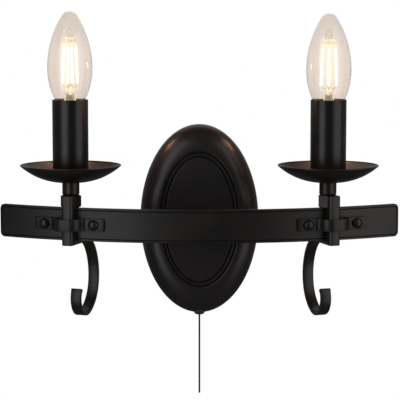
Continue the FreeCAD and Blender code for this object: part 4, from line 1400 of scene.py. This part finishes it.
@dataclass
class Candle:
    """Nut and column on the bar, spun dish and candle tube."""

    arc: BandArc
    side: Side
    nut_flats: float = 14 * MM
    nut_low: float = 15.15 * MM
    nut_turns: Dict[Side, float] = field(
        default_factory=lambda: {Side.LEFT: 0.0, Side.RIGHT: 30.0})
    column_low: float = 24.75 * MM
    dish_low: float = 34.75 * MM
    bore: float = 5.06 * MM
    column: float = 6.75 * MM
    column_ease: float = 0.9 * MM
    dish: float = 39.5 * MM
    dish_depth: float = 13.75 * MM
    dish_wall: float = 1.2 * MM
    dish_lip: float = 0.75 * MM
    dish_ease: float = 0.55 * MM
    dish_seat: float = 8.5 * MM
    dish_curve: float = 51 * MM
    tube: float = 14 * MM
    tube_wall: float = 1 * MM
    tube_low: float = 36.6 * MM
    tube_top: float = 99.5 * MM

    def upright(self, name: str, outline: Outline, low: float, steps: int) -> Object:
        """A turned piece on the candle axis, its foot at height low."""
        return turned(f"{name}_{self.side.word}", outline, self.arc.arm(self.side, low), steps)

    def spun_dish(self) -> Object:
        """Shallow bowl with a rounded lip.

        Returns:
            The dish.
        """
        bowl_top = self.dish_depth - self.dish_lip
        inner = self.dish - self.dish_wall
        outline = [(self.bore, 0.0)]
        outline += bowed((self.dish_seat, 0.0), (self.dish, bowl_top), self.dish_curve, 24)
        outline += eased([(self.dish, bowl_top, 0), (self.dish, self.dish_depth, self.dish_ease),
                          (inner, self.dish_depth, self.dish_ease), (inner, bowl_top, 0)])[1:]
        outline += bowed((inner, bowl_top), (self.dish_seat, self.dish_wall),
                         self.dish_wall - self.dish_curve, 24)[1:]
        outline += [(self.bore, self.dish_wall), (self.bore, 0.0)]
        return self.upright("spun_dish", outline, self.dish_low, 144)

    def sleeve(self) -> Object:
        """Candle tube with its mouth rolled smooth.

        Returns:
            The tube.
        """
        inner, length = self.tube - self.tube_wall, self.tube_top - self.tube_low
        outline = eased([(inner, 0.0, 0), (self.tube, 0.0, 0.2 * MM), (self.tube, length, 0.5 * MM),
                         (inner, length, 0.4 * MM), (inner, 0.0, 0)])
        return self.upright("candle_sleeve", outline, self.tube_low, 128)

    def post(self) -> Object:
        """Short column under the dish, eased round its foot.

        Returns:
            The column.
        """
        length = self.dish_low - self.column_low
        outline = eased([
            (self.bore, 0.0, 0), (self.column - self.column_ease, 0.0, 0),
            (self.column, self.column_ease, 0.3 * MM), (self.column, length, 0.2 * MM),
            (self.bore, length, 0), (self.bore, 0.0, 0)])
        return self.upright("column", outline, self.column_low, 96)

    def build(self) -> List[Object]:
        """Makes the candle's metalwork.

        Returns:
            Nut, column, dish and tube.
        """
        word = self.side.word
        foot = self.arc.arm(self.side, self.nut_low).translation
        nut = hexagon_nut(f"coupling_nut_{word}", self.nut_flats, self.column_low - self.nut_low,
                          Matrix.Translation(foot) @ turn_about_z(self.nut_turns[self.side]))
        spun = replace(SPUN, name=f"{SPUN.name}_{word}", axis=(foot.x, foot.y))
        return [fit(nut, f"hex_nut_{word}", SATIN), fit(self.post(), f"stem_{word}", SATIN),
                fit(self.spun_dish(), f"drip_pan_{word}", spun),
                fit(self.sleeve(), f"candle_tube_{word}", DRAWN)]


@dataclass
class Bulb:
    """Candle bulb: blown envelope, glass stem, four leaning filaments and a screw cap.

    Its radii, heights and outlines are in millimetres.
    """

    arc: BandArc
    side: Side
    drops: Dict[Side, float] = field(
        default_factory=lambda: {Side.LEFT: 0.0, Side.RIGHT: 1.6 * MM})
    radius: float = 17.5
    widest: float = 124.0
    wall: float = 0.7
    neck_radius: float = 8.5
    neck_low: float = 94.5
    neck: float = 5.0
    lower_curve: float = 57.0
    upper_curve: float = 76.7
    upper_turn: float = 32.5
    tip_curve: float = 6.5
    stick_count: int = 4
    stick_radius: float = 0.9
    stick_low: float = 111.5
    stick_high: float = 141.5
    spread: float = 6.1
    gather: float = 4.9
    phases: Dict[Side, float] = field(
        default_factory=lambda: {Side.LEFT: 8.0, Side.RIGHT: -23.5})
    coat_length: float = 1.5
    coat_reach: float = 0.6
    coat_swell: float = 1.12
    wire_radius: float = 0.26
    post_heights: Tuple[float, ...] = (110.5, 130.0, 150.4)
    tie_top: float = 146.6
    hook: Spots = ((-2.9, 147.2), (-2.6, 151.0), (-1.9, 153.8), (0.0, 154.9),
                     (1.9, 153.8), (2.6, 151.0), (2.9, 147.2))
    lead_in: Spots = ((1.9, 94.9), (1.5, 100.0), (1.1, 106.0), (1.3, 109.2))
    cross_ties: Spots = ((5.6, 142.9), (4.4, 146.9))
    cross_tie_width: float = 1.6
    stem_corners: Corners = (
        (0.0, 94.5, 0), (7.0, 94.5, 0.3), (5.6, 97.0, 1.2), (4.0, 101.0, 1.6), (2.9, 105.5, 1.5),
        (2.5, 109.4, 0.8), (1.5, 110.7, 0.5), (0.0, 111.0, 0))
    contact_corners: Corners = (
        (0.0, 70.2, 0), (2.2, 70.2, 0.4), (2.2, 71.2, 0.1), (5.5, 73.7, 0.6), (6.4, 74.7, 0.3))
    skirt_corners: Corners = (
        (6.4, 89.3, 0), (6.9, 90.0, 0.5), (8.5, 91.6, 0.5), (8.5, 94.5, 0.3), (0.0, 94.5, 0))
    thread_low: float = 74.9
    thread_pitch: float = 2.82
    thread_turns: int = 5
    thread_shape: Spots = (
        (6.35, 0.0), (6.55, 0.45), (6.88, 1.0), (6.88, 1.5), (6.55, 2.1))

    @property
    def place(self) -> Matrix:
        """Frame on the candle axis at the row's height, lowered on the right."""
        return self.arc.arm(self.side, -self.drops[self.side])

    def skin(self, inset: float) -> Outline:
        """One face of the envelope in millimetres, from the neck to the tip.

        Args:
            inset: distance inwards from the outer face.

        Returns:
            The points.
        """
        drop = self.widest - self.neck_low - self.neck
        lower, upper = self.lower_curve - inset, self.upper_curve - inset
        lower_turn, turn = math.asin(drop / self.lower_curve), math.radians(self.upper_turn)

        def on_lower(share: float) -> Tuple[float, float]:
            """Point of the lower curve, share of the way from the widest place to the shoulder."""
            return (self.radius - self.lower_curve + lower * math.cos(lower_turn * share),
                    self.widest - lower * math.sin(lower_turn * share))
        spots = eased([(self.neck_radius - inset, self.neck_low, 0), (*on_lower(1.0), 1.6),
                       (*on_lower(0.8), 0)])
        spots += bowed(spots[-1], (self.radius - inset, self.widest), lower, 14)[1:]
        join = (self.radius - self.upper_curve + upper * math.cos(turn),
                self.widest + upper * math.sin(turn))
        spots += bowed(spots[-1], join, upper, 22)[1:]
        top = (self.widest + (self.upper_curve - self.tip_curve) * math.sin(turn)
               + self.tip_curve - inset)
        return spots + bowed(join, (0.0, top), self.tip_curve - inset, 12)[1:]

    def on_lathe(self, name: str, outline: Outline, steps: int, shade: Shade) -> Object:
        """A turned piece of the bulb, from a section in millimetres."""
        return turned(f"{name}_{self.side.word}", millimetres(outline), self.place, steps, shade)

    def envelope(self) -> Object:
        """Thin-walled glass, closed round its neck."""
        outer, inner = self.skin(0.0), self.skin(self.wall)
        return self.on_lathe("bulb_envelope", outer + inner[::-1] + outer[:1], 128, Shade.BLOWN)

    def stem(self) -> Object:
        """Flared glass stem with a rounded pinch."""
        return self.on_lathe("glass_stem", eased(self.stem_corners), 72, Shade.BLOWN)

    @property
    def phase(self) -> float:
        """Turn of the filaments round the axis, in degrees."""
        return self.phases[self.side]

    def heading(self, number: int) -> float:
        """Direction of a filament from the candle axis, in degrees."""
        return 360.0 / self.stick_count * number + self.phase

    def corner(self, number: int, radius: float, height: float) -> Vector:
        """Place of a filament's axis at a height, in metres."""
        turn = math.radians(self.heading(number))
        return Vector((radius * math.cos(turn), radius * math.sin(turn), height)) * MM

    def sticks(self, name: str, pattern: Object) -> Object:
        """Copies of an upright pattern, one to each filament, leaning in towards the top.

        Args:
            name: the joined piece's name.
            pattern: what is copied; it is used up.

        Returns:
            The joined piece.
        """
        lean = math.atan2(self.spread - self.gather, self.stick_high - self.stick_low)
        made = []
        for number in range(self.stick_count):
            spot = Matrix.Translation(self.corner(number, self.spread, self.stick_low))
            turn = turn_about_z(self.heading(number)) @ Matrix.Rotation(-lean, 4, "Y")
            made.append(copied(pattern, f"{name}_{number}", self.place @ spot @ turn))
        bpy.data.objects.remove(pattern)
        return joined(name, made)

    @staticmethod
    def rod(name: str, radius: float, low: float, high: float, steps: int) -> Object:
        """Upright rod with rounded ends, before it is put in its place.

        Args:
            name: the rod's name.
            radius: half its thickness, in millimetres.
            low: its lower end.
            high: its upper end.
            steps: facets round the axis.

        Returns:
            The rod.
        """
        outline = eased([(0.0, low, 0), (radius, low, 0.4), (radius, high, 0.4), (0.0, high, 0)])
        return turned(name, millimetres(outline), None, steps, Shade.DOMED)

    def filaments(self) -> List[Object]:
        """Glowing sticks and the yellower coat on their ends.

        Returns:
            The sticks, and the ends of all four.
        """
        rise, word = self.stick_high - self.stick_low, self.side.word
        coat, reach = self.stick_radius * self.coat_swell, self.coat_reach
        ends = [self.rod("end", coat, low, low + self.coat_length, 24)
                for low in (-reach, rise + reach - self.coat_length)]
        stick = self.rod("stick", self.stick_radius, reach, rise - reach, 32)
        return [self.sticks(f"filament_sticks_{word}", stick),
                self.sticks(f"filament_ends_{word}", joined("ends", ends))]

    def wires(self) -> Object:
        """Support post and hook, leads to the feet of the sticks and ties that gather their heads.

        Returns:
            The joined wires.
        """
        lines = [[Vector((0.0, 0.0, z)) * MM for z in self.post_heights]]
        for number in range(self.stick_count):
            lines.append([self.corner(number, 1.2, 109.2), self.corner(number, 3.6, 109.0),
                          self.corner(number, self.spread, self.stick_low - 0.3)])
            lines.append([self.corner(number, self.gather, self.stick_high + 0.3),
                          self.corner(number, 0.86 * self.gather, self.tie_top)])
        lines.append([Vector((x, 0.0, z)) * MM for x, z in self.hook])
        lines += [[Vector((way * x, 0.4, z)) * MM for x, z in self.lead_in] for way in (-1, 1)]
        made = [Bench.wire("wire", line, self.wire_radius * MM).done(self.place) for line in lines]
        return joined(f"filament_wires_{self.side.word}", made)

    def brackets(self) -> Object:
        """Two cross ties over the sticks.

        Returns:
            The joined ties.
        """
        made, width = [], self.cross_tie_width * MM
        for reach, height in self.cross_ties:
            for number in range(2):
                bench = Bench.block("tie", (2 * reach * MM, width, width), (0.0, 0.0, height * MM))
                bench.ease(0.3 * MM)
                place = self.place @ turn_about_z(self.heading(number))
                made.append(bench.done(place, Shade.TIES))
        return joined(f"filament_ties_{self.side.word}", made)

    def cap(self) -> Object:
        """Screw cap with a rolled thread, insulator and contact.

        Returns:
            The cap.
        """
        outline = eased(self.contact_corners)
        for turn in range(self.thread_turns):
            base = self.thread_low + self.thread_pitch * turn
            outline += [(radius, base + height) for radius, height in self.thread_shape]
        outline += eased(self.skirt_corners)
        return self.on_lathe("screw_cap", outline, 72, Shade.TURNED)

    def build(self) -> List[Object]:
        """Makes the bulb.

        Returns:
            Its pieces.
        """
        word = self.side.word
        sticks, ends = self.filaments()
        return [fit(self.cap(), f"bulb_cap_{word}", NICKEL),
                fit(self.envelope(), f"bulb_glass_{word}", GLASS),
                fit(self.stem(), f"bulb_stem_{word}", STEM_GLASS),
                fit(sticks, f"bulb_filaments_{word}", FILAMENT),
                fit(ends, None, END_COAT_AND_TIE_GLOW),
                # the cross ties take the glowing coat as a painted glow: they are lit by the
                # filaments, not lamps
                fit(self.brackets(), None, END_COAT_AND_TIE_GLOW),
                fit(self.wires(), None, WIRE)]


# ---------------------------------------------------------------- behind the plate

@dataclass
class PlateNuts:
    """Domed cap nuts that hold the plate to its studs."""

    arc: BandArc
    spacing: float = 40 * MM
    seat: float = 20 * MM
    flats: float = 7 * MM
    height: float = 3.2 * MM
    dome: float = 3.1 * MM
    sunk: float = 0.2 * MM

    def build(self) -> List[Object]:
        """Makes both nuts.

        Returns:
            The joined pair.
        """
        made = []
        base = self.height - self.sunk
        outline = [(0.0, 0.0), (self.dome, 0.0)]
        outline += bowed((self.dome, base), (0.0, base + self.dome), self.dome)
        for way in (-0.5, 0.5):
            spot = Matrix.Translation((way * self.spacing, -self.seat, self.arc.rise)) @ OUTWARD
            made.append(hexagon_nut("plate_nut", self.flats, self.height, spot))
            made.append(turned("dome", outline, spot, 48))
        return [fit(joined("plate_cap_nuts", made), "plate_nuts", SATIN)]


@dataclass
class Spacer:
    """Turned spacer tube that carries the band in front of the plate."""

    radius: float = 6.4 * MM
    waist: float = 5.9 * MM
    collar: float = 4 * MM
    bore: float = 5.0 * MM

    def build(self) -> List[Object]:
        """Turns the spacer with a collar at each end.

        Returns:
            The spacer.
        """
        low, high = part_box("centre_boss")
        length = high.y - low.y
        outline = eased([
            (self.bore, 0.0, 0), (self.radius, 0.0, 0.4 * MM), (self.radius, self.collar, 0.4 * MM),
            (self.waist, self.collar + MM, 0.6 * MM),
            (self.waist, length - self.collar - MM, 0.6 * MM),
            (self.radius, length - self.collar, 0.4 * MM), (self.radius, length, 0.2 * MM),
            (self.bore, length, 0), (self.bore, 0.0, 0)])
        place = Matrix.Translation((0.0, high.y, (low.z + high.z) / 2)) @ OUTWARD
        return [fit(turned("spacer_tube", outline, place, 72), "centre_boss", SATIN)]


@dataclass
class CordOutlet:
    """Moulded bush in the plate's lower border, through which the cord leaves."""

    radius: float = 4.25 * MM
    bevel: float = 1.2 * MM
    bore: float = 1.0 * MM
    socket: float = 3.7 * MM
    floor: float = 5.9 * MM

    def build(self) -> List[Object]:
        """Turns the bush.

        Returns:
            The bush.
        """
        low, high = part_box("cord_outlet_bush")
        length = high.z - low.z
        outline = eased([(self.bore, 0.0, 0), (self.radius - self.bevel, 0.0, 0.3 * MM),
                         (self.radius, self.bevel, 0.4 * MM), (self.radius, length, 0.2 * MM),
                         (self.socket, length, 0), (self.socket, self.floor, 0),
                         (self.bore, self.floor, 0), (self.bore, 0.0, 0)])
        place = Matrix.Translation(((low.x + high.x) / 2, (low.y + high.y) / 2, low.z))
        return [fit(turned("outlet_bush", outline, place, 64), "cord_outlet_bush", BLACK_PLASTIC)]


@dataclass
class EasedWork:
    """Pressed, moulded and turned pieces behind the plate, their CAD shapes with broken edges."""

    edges: Dict[str, float] = field(default_factory=lambda: {
        "wall_bracket": 0.25 * MM, "terminal_block": 0.5 * MM, "pull_switch": 0.6 * MM,
        "lampholder_left": 0.4 * MM, "lampholder_right": 0.4 * MM})
    flat_angle: float = 0.5

    @staticmethod
    def take(node: str) -> None:
        """Copies a CAD node and makes the copy the active object.

        Args:
            node: the node's name.
        """
        piece = frame["nodes"][node].copy()
        piece.data = piece.data.copy()
        piece.parent = None
        for key in list(piece.keys()):
            del piece[key]
        bpy.context.scene.collection.objects.link(piece)
        piece.select_set(True)
        bpy.context.view_layer.objects.active = piece

    def ease(self, node: str, width: float) -> Object:
        """Copies a node, merges its loose triangles and rounds its edges.

        Args:
            node: the CAD node.
            width: how much the edges are broken.

        Returns:
            The copy.
        """
        bench = Bench(f"{node}_eased", self.take, node=node)
        bpy.ops.mesh.remove_doubles(threshold=WELD)
        bpy.ops.mesh.dissolve_limited(angle_limit=math.radians(self.flat_angle))
        return bench.ease(width).done()

    def build(self) -> List[Object]:
        """Eases each piece in turn.

        Returns:
            The pieces.
        """
        return [fit(self.ease(node, width), node, BY_SLOT[SLOT_OF[node]])
                for node, width in self.edges.items()]


def dress_nodes() -> None:
    """Gives every CAD node the finish of its material slot."""
    for node, slot in SLOT_OF.items():
        if slot in BY_SLOT:
            BY_SLOT[slot].dress(frame["nodes"][node])


# ---------------------------------------------------------------- pull cord

@dataclass
class PullCord:
    """Thin braided cord that hangs straight from the switch's plunger."""

    diameter: float = 1.4 * MM
    straight_start: float = 8.4 * MM
    divisions: int = 24
    roundness: int = 6

    def build(self) -> List[Object]:
        """Makes the cord as a spline with a round section.

        Returns:
            The cord.
        """
        low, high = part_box("pull_cord")
        x, y = (low.x + high.x) / 2, (low.y + high.y) / 2
        route = [(x, y, high.z), (x, y, high.z - self.straight_start), (x, y, low.z)]
        curve = bpy.data.curves.new("pull_cord_line", "CURVE")
        curve.dimensions = "3D"
        spline = curve.splines.new("NURBS")
        spline.points.add(len(route) - 1)
        for point, spot in zip(spline.points, route):
            point.co = (*spot, 1.0)
        spline.order_u = 3
        spline.use_endpoint_u = True
        spline.resolution_u = self.divisions
        curve.bevel_depth = self.diameter / 2
        curve.bevel_resolution = self.roundness
        curve.use_fill_caps = True
        cord = bpy.data.objects.new("pull_cord_braided", curve)
        bpy.context.scene.collection.objects.link(cord)
        Braid("braided_cord", centre=(x, y)).dress(cord)
        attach(cord, PULL_BODY)
        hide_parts("pull_cord")
        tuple(route[0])
        return [cord]


# ---------------------------------------------------------------- studio

@dataclass
class Softbox:
    """Rectangular studio lamp aimed at the sconce."""

    name: str
    bearing: float
    height: float
    distance: float
    width: float
    tall: float
    watts: float
    colour: Colour = (1.0, 1.0, 1.0)

    def build(self, target: Vector) -> None:
        """Adds the lamp.

        Args:
            target: the point that it faces.
        """
        turn = math.radians(self.bearing)
        light = bpy.data.lights.new(self.name, "AREA")
        light.shape = "RECTANGLE"
        light.size, light.size_y = self.width, self.tall
        light.energy = self.watts
        light.color = self.colour
        lamp = bpy.data.objects.new(self.name, light)
        bpy.context.scene.collection.objects.link(lamp)
        lamp.location = target + Vector((self.distance * math.sin(turn),
                                         -self.distance * math.cos(turn), self.height))
        lamp.rotation_euler = (target - lamp.location).to_track_quat("-Z", "Y").to_euler()


@dataclass
class BulbGlow:
    """Warm light that a lit bulb throws on the plate and the pan behind it."""

    side: Side
    bearing: float = 100.71 * MM
    depth: float = 8 * MM
    height: float = 128 * MM
    size: float = 12 * MM
    watts: float = 0.11
    colour: Colour = (1.0, 0.53, 0.32)

    def build(self) -> None:
        """Hangs a small lamp close behind the envelope, unseen itself."""
        light = bpy.data.lights.new(f"bulb_glow_{self.side.word}", "POINT")
        light.energy, light.color, light.shadow_soft_size = self.watts, self.colour, self.size
        lamp = bpy.data.objects.new(light.name, light)
        lamp.location = (self.side.value * self.bearing, -self.depth, self.height)
        lamp.visible_camera = lamp.visible_transmission = False
        bpy.context.scene.collection.objects.link(lamp)


@dataclass
class Studio:
    """Camera, lamps, world and floor."""

    lens: float = 153.0
    camera_distance: float = 1.380
    camera_height: float = 0.170
    camera_side: float = 0.0005
    camera_pitch: float = 6.43
    sensor: float = 36.0
    clip_end: float = 50.0
    floor_drop: float = 0.45
    floor_half: float = 1.2
    plain_light: float = 0.12
    mirror_front: float = 0.036
    mirror_aside: float = 0.05
    mirror_behind: float = 0.10
    mirror_above: float = 0.5

    def camera(self) -> None:
        """Camera at the photograph's place, with no shift."""
        data = bpy.data.cameras.new("view")
        data.sensor_width = self.sensor
        data.lens = self.lens
        data.clip_end = self.clip_end
        camera = bpy.data.objects.new("view", data)
        bpy.context.scene.collection.objects.link(camera)
        camera.location = (self.camera_side, -self.camera_distance, self.camera_height)
        camera.rotation_euler = (math.radians(90.0 - self.camera_pitch), 0.0, 0.0)
        bpy.context.scene.camera = camera

    def world(self) -> None:
        """White to the camera and through glass; dim in front of the sconce for reflections."""
        world = bpy.data.worlds.new("studio")
        bpy.context.scene.world = world
        tree = Tree(world)
        seen, glossy = tree.rays()
        heading = tree.parts(tree.add("ShaderNodeTexCoord", output="Generated"))
        above = heading["Z"].between(0.03, 0.12) * heading["Y"].between(0.75, 0.95)
        aside = (heading["X"] * heading["X"]).between(0.04, 0.7)
        behind = heading["Y"].between(0.2, 0.8)
        mirrored = glossy * (self.mirror_front + self.mirror_aside * aside
                             + self.mirror_behind * behind + self.mirror_above * above)
        plain = (1 - glossy) * self.plain_light
        background = tree.add("ShaderNodeBackground", None, {
            "Color": (1.0, 1.0, 1.0, 1.0), "Strength": seen.larger(mirrored + plain)})
        tree.finish(background, "ShaderNodeOutputWorld")

    def lamps(self, target: Vector) -> None:
        """Two upright softboxes, a soft light above and behind, and the bulbs' own light.

        Args:
            target: the point that the softboxes face.
        """
        for box in (Softbox("key_left", bearing=-39.0, height=0.10, distance=0.70, width=0.42,
                            tall=1.1, watts=1.9),
                    Softbox("fill_right", bearing=59.0, height=0.10, distance=0.68, width=0.56,
                            tall=1.1, watts=1.9, colour=(1.0, 0.96, 0.93)),
                    Softbox("top", bearing=180.0, height=1.0, distance=0.9, width=1.2,
                            tall=0.5, watts=1.3, colour=(1.0, 0.85, 0.76))):
            box.build(target)
        for side in Side:
            BulbGlow(side).build()

    def floor(self, low: Vector) -> None:
        """Pale floor under the sconce.

        Args:
            low: the lowest corner of the sconce's box.
        """
        bpy.ops.object.select_all(action="DESELECT")
        bpy.ops.mesh.primitive_plane_add(
            size=2 * self.floor_half, location=(0, 0, low.z - self.floor_drop))
        floor = bpy.context.object
        floor.name = "floor"
        Ground("pale_floor").dress(floor)
        floor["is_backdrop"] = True

    def build(self) -> None:
        """Sets up the view and the light."""
        low, high = (Vector(corner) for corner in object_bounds())
        bpy.context.scene.view_settings.view_transform = "Standard"
        self.camera()
        self.world()
        self.lamps((low + high) / 2)
        self.floor(low)


def main() -> None:
    """Builds every sub-assembly."""
    logging.basicConfig(level=logging.INFO, format="%(name)s %(message)s")
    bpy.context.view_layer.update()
    dress_nodes()
    arc = BandArc()
    makers: List[object] = [PullCord(), Backplate(), CurvedBand(arc), PlateNuts(arc), Spacer(),
                            CordOutlet(), EasedWork()]
    for side in Side:
        arm = Arm(arc, side)
        makers += [arm, SaddleClip(arc, side, arm), Candle(arc, side), Bulb(arc, side)]
    for maker in makers:
        for piece in maker.build():
            LOG.info("built %s", piece.name)
    Studio().build()


if __name__ == "__main__":
    main()
